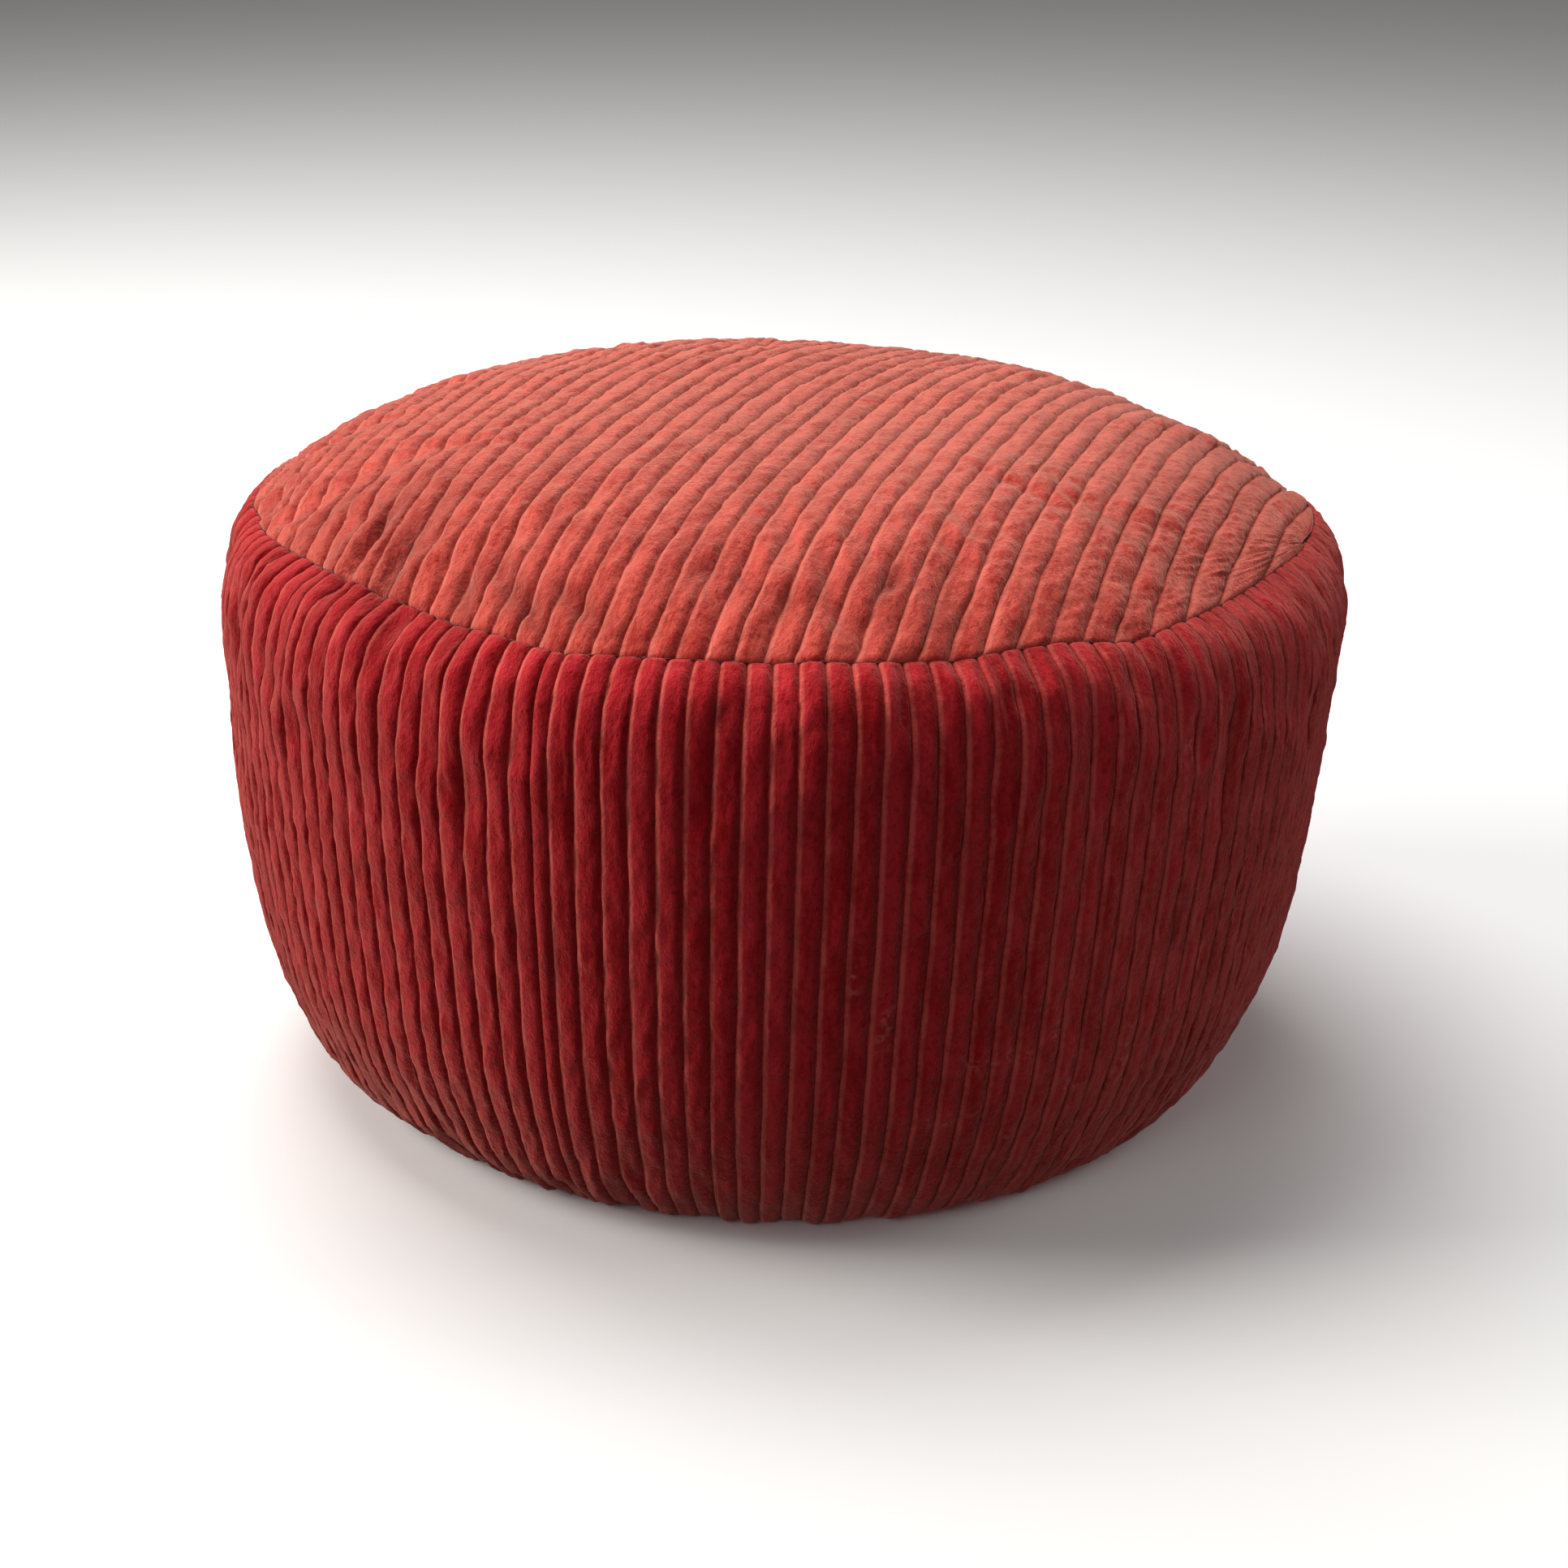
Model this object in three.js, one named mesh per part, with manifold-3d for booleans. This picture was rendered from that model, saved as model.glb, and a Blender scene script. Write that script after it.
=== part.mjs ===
// A round floor pouf: a removable wide-wale corduroy cover with a zip across its base, over a sewn liner
// that holds a foam core wrapped in fibre wadding.
// Millimetres, +Z up, origin on the floor at the middle of the base. The zip runs along X.
import * as THREE from "three";
import { mergeVertices } from "three/addons/utils/BufferGeometryUtils.js";
import Module from "manifold-3d";

// Outer shape
const MAX_R = 280; // widest radius of the side band
const SEAM_R = 257; // seam between the top panel and the side band
const SEAM_Z = 290;
const TOP_Z = 336;
const CROWN_POWER = 4.3; // a high power keeps the middle of the top flat and its rim full
const BASE_R = 213; // seam between the side band and the base
const SIDE_SEAM = THREE.MathUtils.degToRad(-22.6); // front side seam, measured from -Y towards +X

// Layers, as distances in from the outer surface
const CORD = 4; // corduroy, its backing and its pile together
const GAP = 0.4; // between pieces that touch
const BINDING = 1.4;
const BINDING_RING = 4; // across the top seam's binding, which is folded round both edges
const SEAM_ALLOWANCE = 8.5;
const SIDE_TAPE_HALF = 9;
const SIDE_TAPE_LOW = 24;
const SIDE_TAPE_HIGH = 240;
const THREAD = 1; // thickness of the sewing thread's line of stitches
const LINER = 1;
const LINER_OUT = CORD + 3 * GAP + BINDING;
const FILL_OUT = LINER_OUT + LINER + GAP;

// Liner and fill
const LINER_FLOOR = 9.4;
const LINER_RIM_R = 247; // seam between the liner's top and side
const LINER_RIM_Z = 273;
const LINER_SHOULDER = 255; // height where the liner starts to turn in to its rim
const LINER_POWER = 4.5;
const LINER_TOP_Z = TOP_Z - CORD - 2;
const CORE_R = 196;
const FILL_GAP = 3; // room for the liner's own seams
const PAD_EDGE = 4; // thickness of the top pad at its edge
const BLOCK_LEVELS = [11, 62, 222, 271]; // bottom of the base block to the top of the soft block

// Zip and the base panels beside it
const ZIP_HALF = 190; // half the length between the outer ends of the stops
const TAPE_HALF = 204; // half the length of the tapes, which reach past the slot's ends
const SLOT_HALF = 198; // half the length of the slot in the base
const SLOT_WIDE = 8; // half the width of the slot
const BASE_CLOTH = 3;
const HEM_TOP = 5.8; // the panel edges are folded double beside the zip
const HEM_WIDTH = 12;
const TAPE_Z = 6.2;
const TAPE = 0.8;
const TAPE_OUTER = 17;
const COIL_R = 0.85;
const COIL_Y = 1.85; // from the zip's centre line to the middle of each coil
const COIL_Z = TAPE_Z - COIL_R - 0.3;
const STOP = 3.6; // length of an end stop
const CLOSED_X = 180; // middle of the slider when the zip is closed

// Slider and pull
const PLATE = 1;
const PLATE_LOW = 2.8; // underside of the lower plate
const ARCH_HALF = 4; // half the length of the arch that holds the pull
const ARCH_WIDE = 0.9; // half its width
const ARCH_LOW = 0.4; // its underside
const ARCH_THICK = 0.8;
const FOOT = 1.2; // length of each of its two feet
const PULL_Z = 2; // hinge of the pull
const PULL = 1; // thickness
const PULL_BAR = 6; // length of its cross bar
const PULL_REACH = 26;

// Sides of a full turn
const ROUND = 48;
const INNER_ROUND = 36;
const WALL_STEPS = 14; // from the base seam up to the top seam

const wasm = await Module();
wasm.setup();

const MATERIALS = {
  corduroy: [0x9c2f2c, 0.92, 0],
  base_cloth: [0x5a2422, 0.95, 0],
  tape: [0x6b2321, 0.9, 0],
  thread: [0x611a1b, 0.8, 0],
  coil: [0x5b1f1f, 0.5, 0],
  metal: [0x8d8f93, 0.35, 1],
  liner: [0xe9e4d8, 0.95, 0],
  firm_foam: [0xc9c6bd, 0.95, 0],
  core_foam: [0xf0e6c8, 0.95, 0],
  soft_foam: [0xf6efdc, 0.95, 0],
  wadding: [0xf7f6f2, 1, 0],
  label: [0xf2f0ea, 0.9, 0],
};
const materials = Object.fromEntries(
  Object.entries(MATERIALS).map(([name, [color, roughness, metalness]]) => [
    name,
    new THREE.MeshStandardMaterial({ name, color, roughness, metalness }),
  ]),
);

const pouf = new THREE.Group();

function place(name, geometry, material, x = 0, y = 0, z = 0) {
  const mesh = new THREE.Mesh(geometry, materials[material]);
  mesh.name = name;
  mesh.position.set(x, y, z);
  pouf.add(mesh);
}

// ---- Outlines: points of (radius, height), counter-clockwise around the cloth or foam ----

function outline(...pairs) {
  return pairs.map(([x, y]) => new THREE.Vector2(x, y));
}

// The outer surface of the side band, from the base seam up to the top seam.
const wall = new THREE.SplineCurve(
  outline(
    [BASE_R + 0.5, 0],
    [222, 1.4],
    [232.5, 11.6],
    [247.2, 35],
    [264.3, 81],
    [274.7, 151],
    [279.5, 215],
    [MAX_R, 250],
    [275.4, 272],
    [267.5, 283.5],
    [SEAM_R + 0.4, SEAM_Z - 0.4],
  ),
);
const wallPoints = wall.getSpacedPoints(WALL_STEPS);

// A dome from its rim in to its middle, with closer points where it bends most.
function dome(rimR, rimZ, topZ, power, count) {
  return Array.from({ length: count + 1 }, (_, i) => {
    const share = Math.cos(((i / count) * Math.PI) / 2) * (i < count);
    return new THREE.Vector2(rimR * share, rimZ + (topZ - rimZ) * (1 - share ** power));
  });
}

// The same line moved to the left of its direction of travel.
function moveLeft(line, distance) {
  return line.map((point, i) => {
    const before = line[Math.max(i - 1, 0)];
    const after = line[Math.min(i + 1, line.length - 1)];
    const along = after.clone().sub(before).normalize();
    const x = point.x === 0 ? 0 : point.x - along.y * distance;
    return new THREE.Vector2(x, point.y + along.x * distance);
  });
}

// The wall moved in by a distance, kept between two heights.
function innerWall(distance, low, high) {
  const line = moveLeft(wallPoints, distance);
  const at = (z) => {
    const above = line.findIndex((point) => point.y >= z);
    const [a, b] = [line[above - 1], line[above]];
    return a.clone().lerp(b, (z - a.y) / (b.y - a.y));
  };
  return [at(low), ...line.filter((point) => point.y > low + 1 && point.y < high - 1), at(high)];
}

// Cloth of one thickness to the left of a line.
function cloth(line, thickness) {
  return [...line, ...moveLeft(line, thickness).reverse()];
}

// ---- Solids ----

function lathe(profile, sides) {
  const onAxis = profile[0].x === 0 && profile.at(-1).x === 0;
  const ring = onAxis ? profile : [...profile, profile[0].clone()];
  const geometry = new THREE.LatheGeometry(ring, sides);
  geometry.rotateX(Math.PI / 2);
  geometry.rotateZ(SIDE_SEAM);
  return geometry;
}

// A profile swept part of the way round, with flat ends. Angles go from -Y towards +X.
function sector(profile, from, to, steps) {
  const count = profile.length;
  const vertices = [];
  for (let step = 0; step <= steps; step++) {
    const angle = from + ((to - from) * step) / steps;
    profile.forEach(({ x, y }) => vertices.push(x * Math.sin(angle), -x * Math.cos(angle), y));
  }
  const faces = [];
  for (let step = 0; step < steps; step++)
    for (let i = 0; i < count; i++) {
      const a = step * count + i;
      const b = step * count + ((i + 1) % count);
      faces.push(a, a + count, b, b, a + count, b + count);
    }
  const last = steps * count;
  THREE.ShapeUtils.triangulateShape(profile, []).forEach(([a, b, c]) => {
    faces.push(a, b, c, last + a, last + c, last + b);
  });
  const geometry = new THREE.BufferGeometry();
  geometry.setAttribute("position", new THREE.Float32BufferAttribute(vertices, 3));
  geometry.setIndex(faces);
  return geometry;
}

function box(x0, x1, y0, y1, z0, z1) {
  const geometry = new THREE.BoxGeometry(x1 - x0, Math.abs(y1 - y0), z1 - z0);
  geometry.translate((x0 + x1) / 2, (y0 + y1) / 2, (z0 + z1) / 2);
  return geometry;
}

function plate(corners, thickness, z) {
  const geometry = new THREE.ExtrudeGeometry(new THREE.Shape(corners), {
    depth: thickness,
    bevelEnabled: false,
  });
  geometry.translate(0, 0, z);
  return geometry;
}

function solid(geometry) {
  const bare = new THREE.BufferGeometry();
  bare.setAttribute("position", geometry.getAttribute("position"));
  if (geometry.index) bare.setIndex(geometry.index);
  const merged = mergeVertices(bare, 1e-4);
  return new wasm.Manifold(
    new wasm.Mesh({
      numProp: 3,
      vertProperties: new Float32Array(merged.attributes.position.array),
      triVerts: new Uint32Array(merged.index.array),
    }),
  );
}

function geometryOf(manifold) {
  const mesh = manifold.getMesh();
  const geometry = new THREE.BufferGeometry();
  geometry.setAttribute("position", new THREE.BufferAttribute(mesh.vertProperties, 3));
  geometry.setIndex(new THREE.BufferAttribute(mesh.triVerts, 1));
  return geometry;
}

function join(...geometries) {
  return geometryOf(geometries.map(solid).reduce((a, b) => a.add(b)));
}

function cut(geometry, tool) {
  return geometryOf(solid(geometry).subtract(solid(tool)));
}

// ---- Corduroy cover ----

function coverTop() {
  const outer = dome(SEAM_R, SEAM_Z, TOP_Z, CROWN_POWER, 7);
  const profile = cloth(outer, CORD);
  profile.at(-1).set(SEAM_R - CORD, SEAM_Z - CORD / 2);
  place("cover_top", lathe(profile, ROUND), "corduroy");
}

function coverSides() {
  const profile = cloth(wallPoints, CORD);
  profile[WALL_STEPS + 1].set(SEAM_R + 0.3, SEAM_Z - CORD - 2);
  profile.at(-1).set(BASE_R + 0.5, CORD);
  const open = GAP / MAX_R;
  for (const [name, turn] of [["cover_side_front", 0], ["cover_side_back", Math.PI]]) {
    const start = SIDE_SEAM + turn;
    place(name, sector(profile, start + open, start + Math.PI - open, ROUND / 2), "corduroy");
  }
}

// Half of the base disc. The halves meet in a seam at each end of the zip's slot, and beside the slot
// the edge is folded double.
function basePanel(side) {
  const start = Math.asin(GAP / 2 / BASE_R);
  const arc = Array.from({ length: ROUND / 2 + 1 }, (_, i) => {
    const angle = start + ((Math.PI - 2 * start) * i) / (ROUND / 2);
    return new THREE.Vector2(BASE_R * Math.cos(angle), side * BASE_R * Math.sin(angle));
  });
  const slot = outline(
    [-SLOT_HALF, (side * GAP) / 2],
    [-SLOT_HALF, side * SLOT_WIDE],
    [SLOT_HALF, side * SLOT_WIDE],
    [SLOT_HALF, (side * GAP) / 2],
  );
  const hem = [side * SLOT_WIDE, side * (SLOT_WIDE + HEM_WIDTH)];
  return join(
    plate([...arc, ...slot], BASE_CLOTH, 0),
    box(-SLOT_HALF, SLOT_HALF, ...hem, BASE_CLOTH - 0.5, HEM_TOP),
  );
}

function coverBase() {
  place("cover_base_front", basePanel(-1), "base_cloth");
  place("cover_base_back", basePanel(1), "base_cloth");
}

// A ring's section: a rectangle of (radius, height).
function ringSection(innerR, outerR, low, high) {
  return outline([innerR, low], [outerR, low], [outerR, high], [innerR, high]);
}

// A round thread's section: a small square on its corner.
function threadSection(r, z) {
  const half = THREAD / 2;
  return outline([r - half, z], [r, z - half], [r + half, z], [r, z + half]);
}

// Tape over the raw seam edges inside the cover, and the sewing thread of the two round seams.
function seams() {
  const topR = SEAM_R - CORD + 2;
  const topTape = ringSection(topR - BINDING_RING, topR, SEAM_Z - CORD - 10, SEAM_Z - CORD);
  place("top_seam_binding", lathe(topTape, INNER_ROUND), "tape");
  const baseR = BASE_R - 2.5;
  const baseLow = BASE_CLOTH + 0.5;
  const baseTape = ringSection(baseR - SEAM_ALLOWANCE, baseR, baseLow, baseLow + BINDING + 0.7);
  place("base_seam_binding", lathe(baseTape, INNER_ROUND), "tape");
  const strip = cloth(innerWall(CORD + 2 * GAP, SIDE_TAPE_LOW, SIDE_TAPE_HIGH), BINDING);
  const half = SIDE_TAPE_HALF / MAX_R;
  for (const [name, turn] of [["front", 0], ["back", Math.PI]]) {
    const middle = SIDE_SEAM + turn;
    place(`side_seam_binding_${name}`, sector(strip, middle - half, middle + half, 2), "tape");
  }
  const topThread = threadSection(SEAM_R + 0.4, SEAM_Z + 1.2);
  place("top_seam_thread", lathe(topThread, ROUND), "thread");
  const baseThread = threadSection(BASE_R - THREAD / 2, BASE_CLOTH + THREAD);
  place("base_seam_thread", lathe(baseThread, ROUND), "thread");
}

// ---- Liner and fill ----

function liner() {
  const side = innerWall(LINER_OUT, LINER_FLOOR + LINER + GAP, LINER_SHOULDER);
  side.push(new THREE.Vector2(LINER_RIM_R + 1, LINER_RIM_Z));
  place("liner_side", lathe(cloth(side, LINER), INNER_ROUND), "liner");

  const top = dome(LINER_RIM_R, LINER_RIM_Z + LINER + GAP, LINER_TOP_Z, LINER_POWER, 6);
  place("liner_top", lathe(cloth(top, LINER), INNER_ROUND), "liner");

  const floorR = side[0].x - LINER - GAP;
  const z = LINER_FLOOR;
  const base = outline([0, z], [floorR, z], [floorR, z + LINER], [0, z + LINER]);
  place("liner_base", lathe(base, INNER_ROUND), "liner");
}

function fill() {
  const blocks = [
    ["foam_base_block", "firm_foam"],
    ["foam_core_block", "core_foam"],
    ["foam_top_block", "soft_foam"],
  ];
  blocks.forEach(([name, material], i) => {
    const low = BLOCK_LEVELS[i] + GAP;
    const high = BLOCK_LEVELS[i + 1];
    const disc = outline([0, low], [CORE_R, low], [CORE_R, high], [0, high]);
    place(name, lathe(disc, INNER_ROUND), material);
  });

  const low = LINER_FLOOR + LINER + FILL_GAP;
  const high = BLOCK_LEVELS.at(-1);
  const wrap = [
    new THREE.Vector2(CORE_R + GAP, low),
    ...innerWall(FILL_OUT, low, LINER_SHOULDER - 2),
    new THREE.Vector2(LINER_RIM_R - FILL_GAP, high),
    new THREE.Vector2(CORE_R + GAP, high),
  ];
  place("wadding_wrap", lathe(wrap, INNER_ROUND), "wadding");

  const padR = LINER_RIM_R - FILL_GAP - 1;
  const padZ = high + GAP;
  const crown = dome(padR, padZ + PAD_EDGE, LINER_TOP_Z - LINER - 1, LINER_POWER, 6);
  const pad = [new THREE.Vector2(0, padZ), new THREE.Vector2(padR - 1, padZ), ...crown];
  place("wadding_top_pad", lathe(pad, INNER_ROUND), "wadding");
}

// ---- Zip ----

function zip() {
  for (const [side, name] of [[-1, "front"], [1, "back"]]) {
    const across = [side, side * TAPE_OUTER];
    const tape = box(-TAPE_HALF, TAPE_HALF, ...across, TAPE_Z, TAPE_Z + TAPE);
    place(`zip_tape_${name}`, tape, "tape");
    const coil = new THREE.CylinderGeometry(COIL_R, COIL_R, 2 * (ZIP_HALF - STOP - GAP), 8);
    coil.rotateZ(Math.PI / 2);
    place(`zip_coil_${name}`, coil, "coil", 0, side * COIL_Y, COIL_Z);
    const stop = new THREE.BoxGeometry(STOP, 2 * COIL_R, 2 * COIL_R);
    place(`zip_top_stop_${name}`, stop, "metal", ZIP_HALF - STOP / 2, side * COIL_Y, COIL_Z);
  }
  const bottom = new THREE.BoxGeometry(STOP, 2 * (COIL_Y + COIL_R), 2 * COIL_R);
  place("zip_bottom_stop", bottom, "metal", STOP / 2 - ZIP_HALF, 0, COIL_Z);
  const labelZ = TAPE_Z + TAPE + GAP;
  const [x, y, long, wide, thick] = [-70, 7, 40, 9, 0.4];
  place("care_label", box(x, x + long, y, y + wide, labelZ, labelZ + thick), "label");
}

// Two plates joined by a wedge between the coils, with an arch below that holds the pull.
function slider() {
  const upperZ = TAPE_Z + TAPE + GAP;
  const sink = 0.5; // how far the joined solids run into each other
  const corners = outline([-5.5, -3.6], [1, -4.1], [5.5, -5.2], [5.5, 5.2], [1, 4.1], [-5.5, 3.6]);
  const wedge = outline([1, -0.4], [5, -0.55], [5, 0.55], [1, 0.4]);
  const foot = (x) =>
    box(x - FOOT / 2, x + FOOT / 2, -ARCH_WIDE, ARCH_WIDE, ARCH_LOW, PLATE_LOW + sink);
  const body = join(
    plate(corners, PLATE, PLATE_LOW),
    plate(corners, PLATE, upperZ),
    plate(wedge, upperZ - PLATE_LOW, PLATE_LOW + sink),
    box(-ARCH_HALF, ARCH_HALF, -ARCH_WIDE, ARCH_WIDE, ARCH_LOW, ARCH_LOW + ARCH_THICK),
    foot(FOOT / 2 - ARCH_HALF),
    foot(ARCH_HALF - FOOT / 2),
  );
  place("zip_slider", body, "metal", CLOSED_X);
}

// The pull turns about its own cross bar, which lies inside the slider's arch.
function pull() {
  const half = PULL / 2;
  const bar = new THREE.CylinderGeometry(half, half, PULL_BAR, 12);
  const arm = (y) => box(-7, 0.3, y - 0.8, y + 0.8, -half, half);
  const armY = PULL_BAR / 2 - 0.8;
  const tip = -PULL_REACH;
  const tab = outline(
    [tip, -2.8],
    [tip + 2, -4],
    [-9, -3.2],
    [-6, -3],
    [-6, 3],
    [-9, 3.2],
    [tip + 2, 4],
    [tip, 2.8],
  );
  const eye = box(tip + 3, tip + 6.5, -1.6, 1.6, -PULL, PULL);
  const body = join(bar, arm(-armY), arm(armY), plate(tab, PULL, -half));
  place("zip_pull", cut(body, eye), "metal", CLOSED_X, 0, PULL_Z);
}

coverTop();
coverSides();
coverBase();
seams();
liner();
fill();
zip();
slider();
pull();

export default pouf;
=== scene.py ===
"""The looks of a round corduroy floor pouf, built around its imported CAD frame.

Metres, +Z up, origin on the floor at the middle of the base. Angles go from -Y towards +X, so 0 faces the
camera. The cover is first worked out as a smooth stuffed form, which a cloth simulation creases, and then as
corduroy: fine grids whose columns follow the wales.
"""

import math

import bmesh
import bpy
import numpy as np
from mathutils import Matrix, Vector


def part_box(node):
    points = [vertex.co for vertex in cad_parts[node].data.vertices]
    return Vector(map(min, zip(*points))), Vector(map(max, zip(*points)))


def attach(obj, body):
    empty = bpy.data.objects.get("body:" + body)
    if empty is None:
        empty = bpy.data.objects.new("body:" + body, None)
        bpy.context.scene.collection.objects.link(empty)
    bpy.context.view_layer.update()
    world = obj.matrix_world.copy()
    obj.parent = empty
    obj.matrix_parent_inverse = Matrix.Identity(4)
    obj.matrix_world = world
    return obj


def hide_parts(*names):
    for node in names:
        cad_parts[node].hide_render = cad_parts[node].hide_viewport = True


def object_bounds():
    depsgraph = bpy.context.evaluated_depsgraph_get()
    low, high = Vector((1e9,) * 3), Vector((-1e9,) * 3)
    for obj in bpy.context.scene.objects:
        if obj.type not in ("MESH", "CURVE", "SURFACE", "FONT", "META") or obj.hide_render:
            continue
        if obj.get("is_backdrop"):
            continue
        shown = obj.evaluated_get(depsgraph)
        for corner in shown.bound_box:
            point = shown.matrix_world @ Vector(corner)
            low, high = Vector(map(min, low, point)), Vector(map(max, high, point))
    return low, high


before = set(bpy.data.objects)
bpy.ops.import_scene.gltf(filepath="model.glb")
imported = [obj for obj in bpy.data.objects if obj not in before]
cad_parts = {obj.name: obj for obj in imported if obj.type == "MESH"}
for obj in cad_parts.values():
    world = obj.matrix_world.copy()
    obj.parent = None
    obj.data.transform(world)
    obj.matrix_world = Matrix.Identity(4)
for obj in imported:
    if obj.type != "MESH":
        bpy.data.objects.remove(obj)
cad_low, cad_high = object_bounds()
MM = 0.001

# ---- Driving dimensions, from the frame ----

MAX_R = (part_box("cover_side_front")[1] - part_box("cover_side_back")[0]).x / 2
HEIGHT = cad_high.z
SEAM_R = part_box("cover_top")[1].x
SEAM_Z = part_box("cover_side_front")[1].z
BASE_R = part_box("cover_base_front")[1].x
CROWN_POWER = 4.3
SIDE_SEAM = math.radians(-22.6)

# The side band's outer line from the base seam up to the top seam, as (radius, height).
WALL = [
    (BASE_R + 0.5 * MM, 0.3 * MM),
    (222 * MM, 1.4 * MM),
    (232.5 * MM, 11.6 * MM),
    (247.2 * MM, 35 * MM),
    (264.3 * MM, 81 * MM),
    (274.7 * MM, 151 * MM),
    (279.5 * MM, 215 * MM),
    (MAX_R, 250 * MM),
    (275.4 * MM, 272 * MM),
    (267.5 * MM, 283.5 * MM),
    (SEAM_R + 0.4 * MM, SEAM_Z),
]
# Where the sewn top seam strays from its ring: degrees round, degrees wide, and millimetres in towards
# the top's middle. It rides up along the front, is pulled down by the side seam, and hangs low at each side.
SEAM_STRAYS = [
    (-100, 26, -9), (-50, 18, 6), (-22, 4, -3), (0, 14, 3), (25, 9, 4),
    (36, 4, -4), (60, 14, 4), (113, 26, -18), (180, 16, 4),
]

# The pouf as it stands: its top leans to the right, and its left side is plumper.
LEAN = 0.0176
LEFT_PLUMP = 0.014

# Corduroy
WALES_ROUND = 145
WALE = 12.2 * MM
RELIEF = 2.3 * MM
RIDGE_POWER = 3.2
RIDGE_ROUND = 0.6
WALE_SAMPLES = np.array([0, 0.03, 0.08, 0.15, 0.26, 0.42, 0.58, 0.74, 0.85, 0.92, 0.97])
SEAM_ROWS = np.array([0, 0.4, 1.0, 1.8, 2.8, 4.2, 6.0, 8.4]) * MM
TUCK_WIDE = 3.2 * MM
TUCK_DEEP = 2.0 * MM
CLOTH = 4.2 * MM  # how far the panels' edges turn in

rng = np.random.default_rng(7)


# ---- Mesh helpers ----


def add_mesh(name, points, faces):
    mesh = bpy.data.meshes.new(name)
    mesh.from_pydata(np.asarray(points).tolist(), [], [list(map(int, face)) for face in faces])
    mesh.update()
    mesh.polygons.foreach_set("use_smooth", np.ones(len(mesh.polygons), bool))
    piece = bpy.data.objects.new(name, mesh)
    bpy.context.scene.collection.objects.link(piece)
    return piece


def grid_faces(rows, columns, closed=False):
    """Quads of a grid of points whose columns go counter-clockwise and whose rows go up or inwards."""
    row = np.arange(rows - 1)[:, None] * columns
    column = np.arange(columns if closed else columns - 1)[None, :]
    after = (column + 1) % columns
    corners = (row + column, row + after, row + after + columns, row + column + columns)
    return np.stack(corners, -1).reshape(-1, 4)


def add_attribute(piece, name, values):
    layer = piece.data.attributes.new(name, "FLOAT_VECTOR", "POINT")
    layer.data.foreach_set("vector", np.asarray(values, np.float32).ravel())


def show(piece, body, slot, material, *nodes):
    """The piece rides on a body, has a material, and stands for CAD nodes."""
    piece.data.materials.clear()
    piece.data.materials.append(material)
    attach(piece, body)
    if nodes:
        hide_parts(*nodes)
    return piece


def face_out(piece):
    shape = bmesh.new()
    shape.from_mesh(piece.data)
    bmesh.ops.recalc_face_normals(shape, faces=shape.faces)
    shape.to_mesh(piece.data)
    shape.free()


def loft(name, sections, closed=False):
    """A solid through sections, each a ring of as many points. A closed run joins its last to its first."""
    count, around = sections.shape[:2]
    row = np.arange(count if closed else count - 1)[:, None]
    column = np.arange(around)[None, :]
    row, column = np.broadcast_arrays(row, column)
    after, following = (column + 1) % around, (row + 1) % count
    corners = [(row, column), (row, after), (following, after), (following, column)]
    faces = np.stack([r * around + c for r, c in corners], -1).reshape(-1, 4).tolist()
    if not closed:
        faces += [list(range(around)), list(range((count - 1) * around, count * around))]
    piece = add_mesh(name, sections.reshape(-1, 3), faces)
    face_out(piece)
    return piece


def tubes(name, lines, radii, sides=6, reference=(0, 0, 1)):
    """Round tubes along lines of as many points, with a radius for each point."""
    lines = np.asarray(lines, float)
    tangent = np.gradient(lines, axis=1)
    across = np.cross(tangent, reference)
    across /= np.linalg.norm(across, axis=-1, keepdims=True)
    other = np.cross(tangent, across)
    other /= np.linalg.norm(other, axis=-1, keepdims=True)
    turn = np.arange(sides)[:, None] * 2 * np.pi / sides
    ring = across[:, :, None] * np.cos(turn) + other[:, :, None] * np.sin(turn)
    points = lines[:, :, None] + ring * np.asarray(radii)[:, None, None]
    count, steps = lines.shape[:2]
    start = np.arange(count)[:, None, None] * steps * sides
    row = np.arange(steps - 1)[None, :, None] * sides
    column = np.arange(sides)[None, None, :]
    after = (column + 1) % sides
    here, beside = start + row + column, start + row + after
    places = (here, beside, beside + sides, here + sides)
    faces = np.stack(np.broadcast_arrays(*places), -1).reshape(-1, 4).tolist()
    for first in start.ravel():
        last = first + (steps - 1) * sides
        faces += [list(range(first, first + sides)), list(range(last, last + sides))]
    piece = add_mesh(name, points.reshape(-1, 3), faces)
    face_out(piece)
    return piece


def prism(outline, low, high, along="z"):
    """An outline drawn out along z, or one of (x, z) points drawn out along y, as (points, faces)."""
    ends = [[(x, y, at) if along == "z" else (x, at, y) for x, y in outline] for at in (low, high)]
    count = len(outline)
    sides = [(i, (i + 1) % count, (i + 1) % count + count, i + count) for i in range(count)]
    return [*ends[0], *ends[1]], [tuple(range(count)), tuple(range(count, 2 * count)), *sides]


def box(x0, x1, y0, y1, z0, z1):
    return prism([(x0, y0), (x1, y0), (x1, y1), (x0, y1)], z0, z1)


def metal_part(name, solids, bevel, at=(0, 0, 0)):
    """Solids in millimetres joined in one piece, with rounded edges."""
    points, faces = [], []
    for own_points, own_faces in solids:
        faces += [[index + len(points) for index in face] for face in own_faces]
        points += own_points
    piece = add_mesh(name, np.array(points) * MM + np.array(at), faces)
    face_out(piece)
    edges = piece.modifiers.new("edges", "BEVEL")
    edges.width = bevel
    edges.segments = 3
    edges.limit_method = "ANGLE"
    edges.harden_normals = True
    return piece


# ---- Curves and noise ----


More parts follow.
